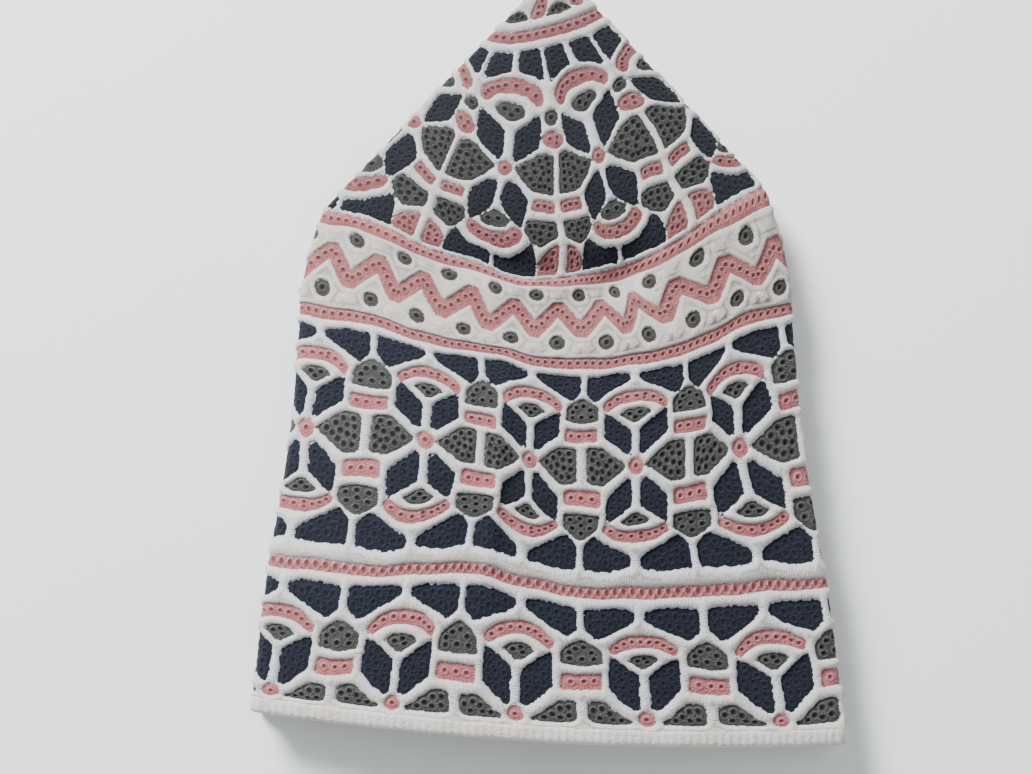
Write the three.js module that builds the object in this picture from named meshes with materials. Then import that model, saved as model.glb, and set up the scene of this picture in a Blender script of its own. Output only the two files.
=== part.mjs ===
// A round, flat-topped embroidered cap of doubled cotton, folded in four and lying on its back panel.
// Each side is tucked in as a gusset, so a quarter of the round crown and of the tall side faces up.
// The crown's centre points to +Y, the open mouth to -Y, and the floor is the plane Z = 0.
// Lengths are in millimetres, and the origin is under the middle of the folded cap.
import * as THREE from 'three';

// Sizes of the cap when it is made up
const crownRadius = 84;
const crownSlant = 93;
const sideHeight = 135;
const mouthGirth = 580;
const hemHeight = 5.2;
const clothThickness = 1.5;
const hemThickness = 2.2;
const seamGap = 0.3;

// Sizes of the fold
const foldRadius = 2.5;
const creaseRadius = 1.1;
const channelWidth = 12;
const domeHeight = 12;
const frontSag = 4.6;
const gussetLift = 4.5;
const tipSoftness = 5;
const tipLean = 3.7;
const seamSkew = 2.6;

// The side from the crown's seam (0) to the lower edge (1). drop is how far down the cap a line lies,
// as a share of the side's height, spread is how far its girth has grown from the seam's to the mouth's,
// smile is what is left of the seam's curve, skew is how far the right end is raised, as a share of its
// height at the seam, bulge is a share of the dome's height, channel is the width left between the two
// tucked-in sides, as a share of its width at the mouth, and sag is a share of the front's sag.
const sideStations = [
  { run: 0.0, drop: 0.0, spread: 0.0, smile: 1.0, skew: 1.0, bulge: 0.86, channel: 0.17, sag: 0.62 },
  { run: 0.107, drop: 0.08, spread: 0.04, smile: 0.82, skew: 0.67, bulge: 0.88, channel: 0.17, sag: 0.8 },
  { run: 0.214, drop: 0.162, spread: 0.08, smile: 0.64, skew: 0.27, bulge: 0.95, channel: 0.18, sag: 0.96 },
  { run: 0.336, drop: 0.257, spread: 0.15, smile: 0.44, skew: -0.33, bulge: 1.0, channel: 0.21, sag: 1.0 },
  { run: 0.458, drop: 0.36, spread: 0.23, smile: 0.29, skew: -0.83, bulge: 0.98, channel: 0.28, sag: 0.9 },
  { run: 0.58, drop: 0.482, spread: 0.47, smile: 0.23, skew: -0.93, bulge: 0.9, channel: 0.39, sag: 0.66 },
  { run: 0.702, drop: 0.608, spread: 0.77, smile: 0.19, skew: -1.0, bulge: 0.76, channel: 0.55, sag: 0.4 },
  { run: 0.824, drop: 0.727, spread: 0.9, smile: 0.165, skew: -1.23, bulge: 0.64, channel: 0.74, sag: 0.18 },
  { run: 0.947, drop: 0.845, spread: 0.98, smile: 0.15, skew: -1.47, bulge: 0.56, channel: 0.94, sag: 0.04 },
  { run: 1.0, drop: 0.898, spread: 1.0, smile: 0.145, skew: -1.57, bulge: 0.55, channel: 1.0, sag: 0.0 },
];

// The crown, which is a little domed, from its centre (0) to its seam (1)
const crownStations = [
  { run: 0.0, bulge: 0.0, channel: 0.17, sag: 0.0 },
  { run: 0.12, bulge: 0.06, channel: 0.17, sag: 0.1 },
  { run: 0.3, bulge: 0.22, channel: 0.17, sag: 0.28 },
  { run: 0.5, bulge: 0.44, channel: 0.17, sag: 0.45 },
  { run: 0.7, bulge: 0.66, channel: 0.17, sag: 0.58 },
  { run: 0.88, bulge: 0.8, channel: 0.17, sag: 0.62 },
  { run: 1.0, bulge: 0.86, channel: 0.17, sag: 0.62 },
];

// Dents (and, with a negative depth, ridges) pressed into the front panel. across is a share of the half
// width, along a share of the way from the crown's centre to the lower edge, wide and tall are half sizes
// as shares of the crown's radius, turn is in degrees, and depth is a share of the dome's height.
const dents = [
  { name: 'seam valley', across: -0.1, along: 0.405, wide: 0.42, tall: 0.055, turn: 0, depth: 0.24 },
  { name: 'band pit', across: 0.3, along: 0.425, wide: 0.11, tall: 0.07, turn: 20, depth: 0.34 },
  { name: 'band hollow', across: 0.05, along: 0.46, wide: 0.6, tall: 0.1, turn: 0, depth: 0.1 },
  { name: 'left crease', across: -0.2, along: 0.72, wide: 0.035, tall: 0.36, turn: -4, depth: -0.11 },
  { name: 'front hollow', across: 0.02, along: 0.73, wide: 0.16, tall: 0.4, turn: 0, depth: 0.11 },
  { name: 'right crease', across: 0.42, along: 0.68, wide: 0.05, tall: 0.3, turn: 6, depth: -0.08 },
  { name: 'crown left fold', across: -0.5, along: 0.36, wide: 0.2, tall: 0.05, turn: -25, depth: 0.22 },
  { name: 'crown hollow', across: 0.25, along: 0.2, wide: 0.1, tall: 0.12, turn: 10, depth: 0.12 },
];

// Where each piece has its rows of points, as shares of its own length along the cap
const crownRows = [0.025, 0.06, 0.11, 0.17, 0.23, 0.3, 0.39, 0.49, 0.6, 0.71, 0.81, 0.88, 0.94, 1];
const hollowFirstRow = 3;
const sideRows = [0, 0.04, 0.08, 0.13, 0.19, 0.26, 0.34, 0.42, 0.51, 0.6, 0.69, 0.78, 0.88, 1];
const hemRows = [0, 0.5, 1];

// How many spans each strip of the section round the cap has
const frontSpans = 18;
const foldSpans = 5;
const gussetSpans = 5;
const backSpans = 8;

const stackHeight = 4 * foldRadius + 2 * creaseRadius;
const meridian = crownSlant + sideHeight;
const facingReach = 1.5;
const shoulderRun = 0.22;
const smooth = (from, to, value) => THREE.MathUtils.smoothstep(value, from, to);

// Reads one column of a table of stations at a run, on a smooth curve through its rows
function readStation(table, column, run) {
  const last = table.length - 1;
  let i = 0;
  while (i < last - 1 && run > table[i + 1].run) i += 1;
  const slopeAt = (k) => {
    const before = table[Math.max(k - 1, 0)];
    const after = table[Math.min(k + 1, last)];
    return (after[column] - before[column]) / (after.run - before.run);
  };
  const [a, b] = [table[i], table[i + 1]];
  const length = b.run - a.run;
  const t = (run - a.run) / length;
  const hermite = (t - 1) ** 2 * (1 + 2 * t) * a[column] + t * t * (3 - 2 * t) * b[column];
  return hermite + length * t * (t - 1) * ((t - 1) * slopeAt(i) + t * slopeAt(i + 1));
}

// The section at a distance along the cloth from the crown's centre. half is its half width, which
// gives the whole loop of cloth its girth, edge is where its side folds start to turn, and crease is
// where the tucked-in sides turn back. pocket grows from 0 at the crown's centre to 1.
function sectionAt(distance) {
  const inCrown = distance <= crownSlant;
  const run = inCrown ? distance / crownSlant : (distance - crownSlant) / sideHeight;
  const stations = inCrown ? crownStations : sideStations;
  const seamGirth = 2 * Math.PI * crownRadius;
  const spread = inCrown ? 0 : readStation(stations, 'spread', run);
  const girth = inCrown ? seamGirth * run : THREE.MathUtils.lerp(seamGirth, mouthGirth, spread);
  const pocket = smooth(0.1 * crownSlant, 0.24 * crownSlant, distance);
  const rise = domeHeight * readStation(stations, 'bulge', run);
  const channel = (channelWidth / 2) * readStation(stations, 'channel', run);
  const creaseCentre = channel + clothThickness + creaseRadius;
  const turns = 4 * Math.PI * foldRadius + 2 * Math.PI * creaseRadius;
  let reach = girth / 8;
  for (let pass = 0; pass < 4; pass += 1) {
    const arch = 1 + (2 / 3) * (rise / (reach + stackHeight)) ** 2;
    reach = (girth + 4 * creaseCentre - turns) / (6 + 2 * arch);
  }
  const half = THREE.MathUtils.lerp(girth / 8, reach + foldRadius, pocket);
  const foldWidth = foldRadius * (1 - Math.exp(-half / foldRadius));
  const edge = half - foldWidth;
  const crease = edge * (1 - Math.exp(-creaseCentre / edge));
  const tipRoundness = Math.tanh((2.2 * distance) / stackHeight);
  return { inCrown, run, pocket, rise, half, edge, foldWidth, crease, tipRoundness };
}

// The front panel's height over its own edges at a share of the half width
function frontRise(section, distance, across) {
  const free = (1 - across * across) ** 2;
  let height = section.rise * (1 - across * across);
  for (const dent of dents) {
    const x = ((across - dent.across) * section.half) / crownRadius;
    const y = ((distance / meridian - dent.along) * meridian) / crownRadius;
    const turn = THREE.MathUtils.degToRad(dent.turn);
    const u = (x * Math.cos(turn) - y * Math.sin(turn)) / dent.wide;
    const v = (x * Math.sin(turn) + y * Math.cos(turn)) / dent.tall;
    height -= domeHeight * dent.depth * free * Math.exp(-u * u - v * v);
  }
  return height;
}

// One point of the section, as its distance across from the middle and its height over the floor.
// strip and share say which stretch of the right half it is on and how far along that stretch.
function sectionPoint(section, distance, strip, share) {
  const { half, edge, foldWidth, crease, pocket, rise } = section;
  const middle = stackHeight / 2;
  const slope = Math.atan2(2 * rise, half);
  const lift = gussetLift * (rise / domeHeight) * pocket;
  const liftAt = (across) => lift * Math.cos((0.5 * Math.PI * across) / edge) ** 2;
  const upper = (across) => middle + creaseRadius + liftAt(across);
  const lower = (across) => middle - creaseRadius + 0.35 * liftAt(across);

  // Where the section has no pocket, its flank is upright, and these points lie on it
  const opened = (across, height, flankHeight) => [
    THREE.MathUtils.lerp(half, across, pocket),
    THREE.MathUtils.lerp(flankHeight, height, pocket),
  ];
  const foldPoint = (centreHeight, angle) => [
    edge + foldWidth * Math.cos(angle),
    centreHeight + foldRadius * Math.sin(angle),
  ];
  const strips = {
    front: () => {
      const reach = edge + foldWidth * Math.sin(slope);
      const base = stackHeight - foldRadius + foldRadius * Math.cos(slope);
      return [share * reach, base + frontRise(section, distance, share)];
    },
    frontFold: () => {
      const angle = THREE.MathUtils.lerp(Math.PI / 2 - slope, -Math.PI / 2, share);
      const [across, height] = foldPoint(stackHeight - foldRadius, angle);
      return angle > 0 ? [across, height] : opened(across, height, stackHeight - foldRadius * (1 - angle / 4));
    },
    upperGusset: () => {
      const across = THREE.MathUtils.lerp(edge, crease, share);
      return opened(across, upper(across), middle + creaseRadius * (2 - share));
    },
    crease: () => {
      const radius = (upper(crease) - lower(crease)) / 2;
      const angle = Math.PI * (0.5 + share);
      const across = crease + Math.min(radius, creaseRadius) * Math.cos(angle);
      const flankHeight = middle + creaseRadius * (1 - 2 * share);
      return opened(across, lower(crease) + radius + radius * Math.sin(angle), flankHeight);
    },
    lowerGusset: () => {
      const across = THREE.MathUtils.lerp(crease, edge, share);
      return opened(across, lower(across), middle - creaseRadius * (1 + share));
    },
    backFold: () => {
      const angle = Math.PI * (0.5 - share);
      const [across, height] = foldPoint(foldRadius, angle);
      return angle < 0 ? [across, height] : opened(across, height, foldRadius * (1 + angle / 4));
    },
    back: () => [edge * (1 - share), 0],
  };
  const [across, height] = strips[strip]();
  return [across, middle + (height - middle) * section.tipRoundness];
}

// The strips round the whole section, from the front's left edge to the right and on round the back
const rightStrips = ['frontFold', 'upperGusset', 'crease', 'lowerGusset', 'backFold'];
const spansOf = {
  frontFold: foldSpans,
  upperGusset: gussetSpans,
  crease: foldSpans,
  lowerGusset: gussetSpans,
  backFold: foldSpans,
};
function sectionColumns() {
  const columns = [];
  const add = (side, strip, from, to, spans) => {
    for (let i = 0; i < spans; i += 1) {
      columns.push({ side, strip, share: THREE.MathUtils.lerp(from, to, i / spans) });
    }
  };
  add(1, 'front', -1, 1, frontSpans);
  rightStrips.forEach((strip) => add(1, strip, 0, 1, spansOf[strip]));
  add(1, 'back', 0, 2, backSpans);
  [...rightStrips].reverse().forEach((strip) => add(-1, strip, 1, 0, spansOf[strip]));
  return columns;
}

// Bends a section's point to its place on the flat cap: round the crown's centre, or down the side.
// The cloth sags towards the mouth, most of all a little to the right of the middle.
function placeOnCap(section, distance, across, height) {
  const share = across / section.half;
  const stations = section.inCrown ? crownStations : sideStations;
  const sag = frontSag * readStation(stations, 'sag', section.run) * (1 - share * share) * (1 + share);
  if (section.inCrown) {
    const angle = across / Math.max(distance, 1e-6);
    const along = Math.hypot(distance * Math.cos(angle), tipSoftness);
    const lean = tipLean * (1 - section.run);
    return new THREE.Vector3(
      distance * Math.sin(angle) + lean,
      seamSkew * section.run * share - along - sag,
      height,
    );
  }
  const seamSection = sectionAt(crownSlant);
  const seamAngle = (share * seamSection.half) / crownSlant;
  const straight = 1 - Math.max(1 - section.run / shoulderRun, 0) ** 2;
  const read = (column) => readStation(sideStations, column, section.run);
  const seamAlong = Math.hypot(crownSlant * Math.cos(seamAngle), tipSoftness);
  const middleAlong = Math.hypot(crownSlant, tipSoftness);
  const along = middleAlong + sideHeight * read('drop') - (middleAlong - seamAlong) * read('smile');
  const skewed = seamSkew * share * read('skew');
  return new THREE.Vector3(
    THREE.MathUtils.lerp(crownSlant * Math.sin(seamAngle), across, straight),
    skewed - along - sag,
    height,
  );
}

// A point on the cap's outer face, and the way that face looks there
function outerPoint(column, distance) {
  const section = sectionAt(distance);
  const [across, height] = sectionPoint(section, distance, column.strip, column.share);
  return placeOnCap(section, distance, column.side * across, height);
}

// Makes one closed wall between two distances from the crown's centre. Points on the inner face lie
// a thickness behind the outer face. A wall that starts at the crown's centre is closed over it, and is
// solid there up to its first hollow row.
function wallGeometry(distances, thickness, closedTip) {
  const columns = sectionColumns();
  const count = columns.length;
  const firstInner = closedTip ? hollowFirstRow : 0;
  const outer = [];
  const inner = [];
  distances.forEach((distance, row) => {
    const ring = columns.map((column) => outerPoint(column, distance));
    const above = columns.map((column) => outerPoint(column, distance - facingReach));
    const below = columns.map((column) => outerPoint(column, distance + facingReach));
    outer.push(...ring);
    if (row < firstInner) return;
    ring.forEach((point, i) => {
      const next = ring[(i + 1) % count];
      const before = ring[(i + count - 1) % count];
      const round = next.clone().sub(point).normalize().add(point.clone().sub(before).normalize());
      const facing = below[i].clone().sub(above[i]).cross(round).normalize();
      inner.push(point.clone().addScaledVector(facing, -thickness));
    });
  });
  const points = [...outer, ...inner];
  const innerStart = outer.length;
  const faces = [];
  const quad = (a, b, c, d) => faces.push([a, b, c], [a, c, d]);
  const eachSpan = (work) => columns.forEach((column, i) => work(i, (i + 1) % count));
  for (let row = 0; row + 1 < distances.length; row += 1) {
    const near = row * count;
    const far = near + count;
    eachSpan((i, j) => quad(near + i, far + i, far + j, near + j));
    if (row < firstInner) continue;
    const shift = innerStart - firstInner * count;
    eachSpan((i, j) => quad(near + i + shift, near + j + shift, far + j + shift, far + i + shift));
  }
  const outerEnd = outer.length - count;
  const innerEnd = points.length - count;
  eachSpan((i, j) => quad(outerEnd + i, innerEnd + i, innerEnd + j, outerEnd + j));
  if (closedTip) {
    const tip = points.push(new THREE.Vector3(tipLean, -tipSoftness, stackHeight / 2)) - 1;
    eachSpan((i, j) => faces.push([tip, i, j]));
    const contour = inner.slice(0, count).map((point) => new THREE.Vector2(point.x, point.z));
    for (const [a, b, c] of THREE.ShapeUtils.triangulateShape(contour, [])) {
      const turn = contour[b].clone().sub(contour[a]).cross(contour[c].clone().sub(contour[a]));
      const face = turn > 0 ? [a, b, c] : [a, c, b];
      faces.push(face.map((i) => i + innerStart));
    }
  } else {
    eachSpan((i, j) => quad(i, j, j + innerStart, i + innerStart));
  }
  const geometry = new THREE.BufferGeometry();
  geometry.setAttribute('position', new THREE.Float32BufferAttribute(points.flatMap((p) => p.toArray()), 3));
  geometry.setIndex(faces.flat());
  geometry.computeVertexNormals();
  return geometry;
}

const rowsBetween = (from, to, shares) => shares.map((share) => THREE.MathUtils.lerp(from, to, share));
const hemTop = meridian - hemHeight;
const pieces = [
  {
    name: 'crown',
    geometry: wallGeometry(rowsBetween(0, crownSlant - seamGap / 2, crownRows), clothThickness, true),
    material: new THREE.MeshStandardMaterial({ color: 0x8f8d92, roughness: 0.95, metalness: 0 }),
  },
  {
    name: 'side_band',
    geometry: wallGeometry(
      rowsBetween(crownSlant + seamGap / 2, hemTop - seamGap / 2, sideRows),
      clothThickness,
      false,
    ),
    material: new THREE.MeshStandardMaterial({ color: 0x9b989c, roughness: 0.95, metalness: 0 }),
  },
  {
    name: 'hem_band',
    geometry: wallGeometry(rowsBetween(hemTop + seamGap / 2, meridian, hemRows), hemThickness, false),
    material: new THREE.MeshStandardMaterial({ color: 0xdcd7cf, roughness: 0.9, metalness: 0 }),
  },
];

const cap = new THREE.Group();
cap.name = 'folded_cap';
for (const { name, geometry, material } of pieces) {
  const mesh = new THREE.Mesh(geometry, material);
  mesh.name = name;
  cap.add(mesh);
}

// Puts the origin on the floor, under the middle of the cap
const bounds = new THREE.Box3().setFromObject(cap);
const centre = bounds.getCenter(new THREE.Vector3());
cap.position.set(-centre.x, -centre.y, -bounds.min.z);

export default cap;
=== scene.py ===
"""A folded, embroidered cotton cap: white cords, thread-filled cells with eyelets, hem and lining."""
import math

import bpy
import numpy as np
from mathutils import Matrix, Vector
from mathutils.geometry import delaunay_2d_cdt


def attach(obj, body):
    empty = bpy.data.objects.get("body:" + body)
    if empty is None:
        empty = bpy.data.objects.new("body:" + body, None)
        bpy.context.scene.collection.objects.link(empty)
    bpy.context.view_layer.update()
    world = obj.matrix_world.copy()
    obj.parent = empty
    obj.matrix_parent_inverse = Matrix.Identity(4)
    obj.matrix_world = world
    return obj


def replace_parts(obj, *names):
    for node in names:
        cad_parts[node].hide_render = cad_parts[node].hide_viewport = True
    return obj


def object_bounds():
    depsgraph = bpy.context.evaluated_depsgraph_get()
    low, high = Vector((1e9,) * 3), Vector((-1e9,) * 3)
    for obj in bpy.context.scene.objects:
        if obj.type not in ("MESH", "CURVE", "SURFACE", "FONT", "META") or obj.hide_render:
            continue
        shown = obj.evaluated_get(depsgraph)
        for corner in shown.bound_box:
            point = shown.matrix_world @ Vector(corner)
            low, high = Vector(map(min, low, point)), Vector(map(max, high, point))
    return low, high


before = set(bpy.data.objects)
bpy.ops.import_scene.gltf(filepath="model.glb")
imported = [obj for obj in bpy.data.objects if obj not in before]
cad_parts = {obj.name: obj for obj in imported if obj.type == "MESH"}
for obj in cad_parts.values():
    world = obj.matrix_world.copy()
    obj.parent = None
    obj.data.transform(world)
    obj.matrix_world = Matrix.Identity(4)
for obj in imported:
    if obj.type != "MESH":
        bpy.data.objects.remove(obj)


def plain_box(box):
    return [[float(v) for v in corner] for corner in box]


cad_bounds = plain_box(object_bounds())
MM = 0.001
rng = np.random.default_rng(7)

# Sizes of the cap when it is made up, in millimetres, as the solids have them
CROWN_RADIUS = 84.0
CROWN_SLANT = 93.0
SIDE_HEIGHT = 135.0
MOUTH_GIRTH = 580.0
HEM_HEIGHT = 5.2
CLOTH_THICKNESS = 1.5

# Sizes of the fold, as the solids have them
FOLD_RADIUS = 2.5
CREASE_RADIUS = 1.1
CHANNEL_WIDTH = 12.0
DOME_HEIGHT = 12.0
FRONT_SAG = 4.6
GUSSET_LIFT = 4.5
TIP_SOFTNESS = 5.0
TIP_LEAN = 3.7
SEAM_SKEW = 2.6
SHOULDER_RUN = 0.22
STACK_HEIGHT = 4 * FOLD_RADIUS + 2 * CREASE_RADIUS
MERIDIAN = CROWN_SLANT + SIDE_HEIGHT

COLUMNS = ("run", "drop", "spread", "smile", "skew", "bulge", "channel", "sag")
SIDE_STATIONS = (
    (0.0, 0.0, 0.0, 1.0, 1.0, 0.86, 0.17, 0.62),
    (0.107, 0.08, 0.04, 0.82, 0.67, 0.88, 0.17, 0.8),
    (0.214, 0.162, 0.08, 0.64, 0.27, 0.95, 0.18, 0.96),
    (0.336, 0.257, 0.15, 0.44, -0.33, 1.0, 0.21, 1.0),
    (0.458, 0.36, 0.23, 0.29, -0.83, 0.98, 0.28, 0.9),
    (0.58, 0.482, 0.47, 0.23, -0.93, 0.9, 0.39, 0.66),
    (0.702, 0.608, 0.77, 0.19, -1.0, 0.76, 0.55, 0.4),
    (0.824, 0.727, 0.9, 0.165, -1.23, 0.64, 0.74, 0.18),
    (0.947, 0.845, 0.98, 0.15, -1.47, 0.56, 0.94, 0.04),
    (1.0, 0.898, 1.0, 0.145, -1.57, 0.55, 1.0, 0.0),
)
CROWN_COLUMNS = ("run", "bulge", "channel", "sag")
CROWN_STATIONS = (
    (0.0, 0.0, 0.17, 0.0),
    (0.12, 0.06, 0.17, 0.1),
    (0.3, 0.22, 0.17, 0.28),
    (0.5, 0.44, 0.17, 0.45),
    (0.7, 0.66, 0.17, 0.58),
    (0.88, 0.8, 0.17, 0.62),
    (1.0, 0.86, 0.17, 0.62),
)

# Dents in the front panel: across, along, half width, half height, turn in degrees, and depth
DENTS = (
    (-0.1, 0.405, 0.42, 0.055, 0, 0.24),
    (0.3, 0.425, 0.11, 0.07, 20, 0.34),
    (0.05, 0.46, 0.6, 0.1, 0, 0.1),
    (-0.2, 0.72, 0.035, 0.36, -4, -0.11),
    (0.02, 0.73, 0.16, 0.4, 0, 0.11),
    (0.42, 0.68, 0.05, 0.3, 6, -0.08),
    (-0.5, 0.36, 0.2, 0.05, -25, 0.22),
    (0.25, 0.2, 0.1, 0.12, 10, 0.12),
)


# How the photograph was taken: millimetres, degrees, and a lens for a 36 mm sensor
CAMERA_TARGET = (-8.0, -14.0, 14.0)
CAMERA_DISTANCE = 360.0
CAMERA_ELEVATION = 77.5
CAMERA_LENS = 36 * 1375 / 1032


def place_camera():
    """Looks down on the cap from the mouth's side."""
    elevation = math.radians(CAMERA_ELEVATION)
    back = Vector((0, -math.cos(elevation), math.sin(elevation)))
    data = bpy.data.cameras.new("camera")
    data.lens = CAMERA_LENS
    data.sensor_width = 36
    data.clip_start = 0.01
    camera = bpy.data.objects.new("camera", data)
    camera.location = (Vector(CAMERA_TARGET) + back * CAMERA_DISTANCE) * MM
    camera.rotation_euler = (math.pi / 2 - elevation, 0, 0)
    bpy.context.scene.collection.objects.link(camera)
    bpy.context.scene.camera = camera


place_camera()


# The fold of the cloth

def smooth(low, high, value):
    t = np.clip((value - low) / (high - low), 0, 1)
    return t * t * (3 - 2 * t)


def read_station(table, columns, column, run):
    """One column of a table of stations at a run, on a smooth curve through its rows."""
    k = columns.index(column)
    last = len(table) - 1
    i = 0
    while i < last - 1 and run > table[i + 1][0]:
        i += 1

    def slope_at(j):
        before, after = table[max(j - 1, 0)], table[min(j + 1, last)]
        return (after[k] - before[k]) / (after[0] - before[0])

    a, b = table[i], table[i + 1]
    length = b[0] - a[0]
    t = (run - a[0]) / length
    value = (t - 1) ** 2 * (1 + 2 * t) * a[k] + t * t * (3 - 2 * t) * b[k]
    return value + length * t * (t - 1) * ((t - 1) * slope_at(i) + t * slope_at(i + 1))


def read_side(column, run):
    return read_station(SIDE_STATIONS, COLUMNS, column, run)


def section_at(distance):
    """The folded section at a distance along the cloth from the crown's centre."""
    in_crown = distance <= CROWN_SLANT
    seam_girth = 2 * math.pi * CROWN_RADIUS
    if in_crown:
        run = distance / CROWN_SLANT
        girth = seam_girth * run
        bulge = read_station(CROWN_STATIONS, CROWN_COLUMNS, "bulge", run)
        channel = read_station(CROWN_STATIONS, CROWN_COLUMNS, "channel", run)
    else:
        run = (distance - CROWN_SLANT) / SIDE_HEIGHT
        girth = seam_girth + (MOUTH_GIRTH - seam_girth) * read_side("spread", run)
        bulge = read_side("bulge", run)
        channel = read_side("channel", run)
    pocket = float(smooth(0.1 * CROWN_SLANT, 0.24 * CROWN_SLANT, distance))
    rise = DOME_HEIGHT * bulge
    crease_centre = CHANNEL_WIDTH / 2 * channel + CLOTH_THICKNESS + CREASE_RADIUS
    turns = 4 * math.pi * FOLD_RADIUS + 2 * math.pi * CREASE_RADIUS
    reach = girth / 8
    for _ in range(4):
        arch = 1 + 2 / 3 * (rise / (reach + STACK_HEIGHT)) ** 2
        reach = (girth + 4 * crease_centre - turns) / (6 + 2 * arch)
    half = girth / 8 + (reach + FOLD_RADIUS - girth / 8) * pocket
    fold_width = FOLD_RADIUS * (1 - math.exp(-half / FOLD_RADIUS))
    edge = half - fold_width
    return {
        "in_crown": in_crown,
        "run": run,
        "pocket": pocket,
        "rise": rise,
        "half": half,
        "edge": edge,
        "fold_width": fold_width,
        "crease": edge * (1 - math.exp(-crease_centre / edge)),
        "roundness": math.tanh(2.2 * distance / STACK_HEIGHT),
    }


def front_rise(section, distance, across):
    """The front panel's height over its own edges at shares of the half width."""
    free = (1 - across * across) ** 2
    height = section["rise"] * (1 - across * across)
    for dent_across, along, wide, tall, turn, depth in DENTS:
        x = (across - dent_across) * section["half"] / CROWN_RADIUS
        y = (distance / MERIDIAN - along) * MERIDIAN / CROWN_RADIUS
        angle = math.radians(turn)
        u = (x * math.cos(angle) - y * math.sin(angle)) / wide
        v = (x * math.sin(angle) + y * math.cos(angle)) / tall
        height = height - DOME_HEIGHT * depth * free * np.exp(-u * u - v * v)
    return height


def strip_points(section, distance, strip, share):
    """Distances across and heights of points on one strip of the section's right half."""
    half, edge, crease = section["half"], section["edge"], section["crease"]
    fold_width, pocket, rise = section["fold_width"], section["pocket"], section["rise"]
    middle = STACK_HEIGHT / 2
    slope = math.atan2(2 * rise, half)
    lift = GUSSET_LIFT * rise / DOME_HEIGHT * pocket

    def lift_at(across):
        return lift * np.cos(0.5 * math.pi * across / edge) ** 2

    def opened(across, height, flank_height):
        return half + (across - half) * pocket, flank_height + (height - flank_height) * pocket

    def fold(centre_height, angle, flank_height, flank):
        across = edge + fold_width * np.cos(angle)
        height = centre_height + FOLD_RADIUS * np.sin(angle)
        open_across, open_height = opened(across, height, flank_height)
        return np.where(flank, open_across, across), np.where(flank, open_height, height)

    if strip == "front":
        reach = edge + fold_width * math.sin(slope)
        base = STACK_HEIGHT - FOLD_RADIUS + FOLD_RADIUS * math.cos(slope)
        return share * reach, base + front_rise(section, distance, share)
    if strip == "front_fold":
        angle = math.pi / 2 - slope + (slope - math.pi) * share
        centre_height = STACK_HEIGHT - FOLD_RADIUS
        return fold(centre_height, angle, STACK_HEIGHT - FOLD_RADIUS * (1 - angle / 4), angle <= 0)
    if strip == "upper_gusset":
        across = edge + (crease - edge) * share
        height = middle + CREASE_RADIUS + lift_at(across)
        return opened(across, height, middle + CREASE_RADIUS * (2 - share))
    if strip == "crease":
        low = middle - CREASE_RADIUS + 0.35 * lift_at(crease)
        radius = (middle + CREASE_RADIUS + lift_at(crease) - low) / 2
        angle = math.pi * (0.5 + share)
        across = crease + min(radius, CREASE_RADIUS) * np.cos(angle)
        height = low + radius + radius * np.sin(angle)
        return opened(across, height, middle + CREASE_RADIUS * (1 - 2 * share))
    if strip == "lower_gusset":
        across = crease + (edge - crease) * share
        height = middle - CREASE_RADIUS + 0.35 * lift_at(across)
        return opened(across, height, middle - CREASE_RADIUS * (1 + share))
    if strip == "back_fold":
        angle = math.pi * (0.5 - share)
        return fold(FOLD_RADIUS, angle, FOLD_RADIUS * (1 + angle / 4), angle >= 0)
    return edge * (1 - share), np.zeros_like(share)


RIGHT_STRIPS = (("front_fold", 24), ("upper_gusset", 60), ("crease", 16), ("lower_gusset", 60),
                ("back_fold", 24))
FRONT_SPANS = 240
BACK_SPANS = 120


def fold_row(distance):
    """The outer face's points round the cap at one distance, from the front's left edge to the right."""
    section = section_at(distance)
    across, height = [], []

    def add(side, strip, start, end, spans):
        share = start + (end - start) * np.arange(spans) / spans
        a, h = strip_points(section, distance, strip, share)
        across.append(side * a)
        height.append(h)

    add(1, "front", -1, 1, FRONT_SPANS)
    for strip, spans in RIGHT_STRIPS:
        add(1, strip, 0, 1, spans)
    add(1, "back", 0, 2, BACK_SPANS)
    for strip, spans in reversed(RIGHT_STRIPS):
        add(-1, strip, 1, 0, spans)
    across, height = np.concatenate(across), np.concatenate(height)
    middle = STACK_HEIGHT / 2
    height = middle + (height - middle) * section["roundness"]
    share = across / section["half"]
    if section["in_crown"]:
        angle = across / distance
        along = np.hypot(distance * np.cos(angle), TIP_SOFTNESS)
        x = distance * np.sin(angle) + TIP_LEAN * (1 - section["run"])
        sag = FRONT_SAG * read_station(CROWN_STATIONS, CROWN_COLUMNS, "sag", section["run"])
        y = SEAM_SKEW * section["run"] * share - along - sag * (1 - share ** 2) * (1 + share)
        return np.stack([x, y, height], 1)
    angle = share * section_at(CROWN_SLANT)["half"] / CROWN_SLANT
    straight = 1 - max(1 - section["run"] / SHOULDER_RUN, 0) ** 2
    seam_along = np.hypot(CROWN_SLANT * np.cos(angle), TIP_SOFTNESS)
    middle_along = math.hypot(CROWN_SLANT, TIP_SOFTNESS)
    along = middle_along + SIDE_HEIGHT * read_side("drop", section["run"])
    along = along - (middle_along - seam_along) * read_side("smile", section["run"])
    along = along + FRONT_SAG * read_side("sag", section["run"]) * (1 - share ** 2) * (1 + share)
    rounded = CROWN_SLANT * np.sin(angle)
    x = rounded + (across - rounded) * straight
    return np.stack([x, SEAM_SKEW * share * read_side("skew", section["run"]) - along, height], 1)


ROW_STEP = 0.75
BORDER_POINTS = 720
HEM_DROP = 1.6
HEM_TOP = MERIDIAN - HEM_HEIGHT + HEM_DROP
FIRST_ROW = 0.3
AROUND = 1440


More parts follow.
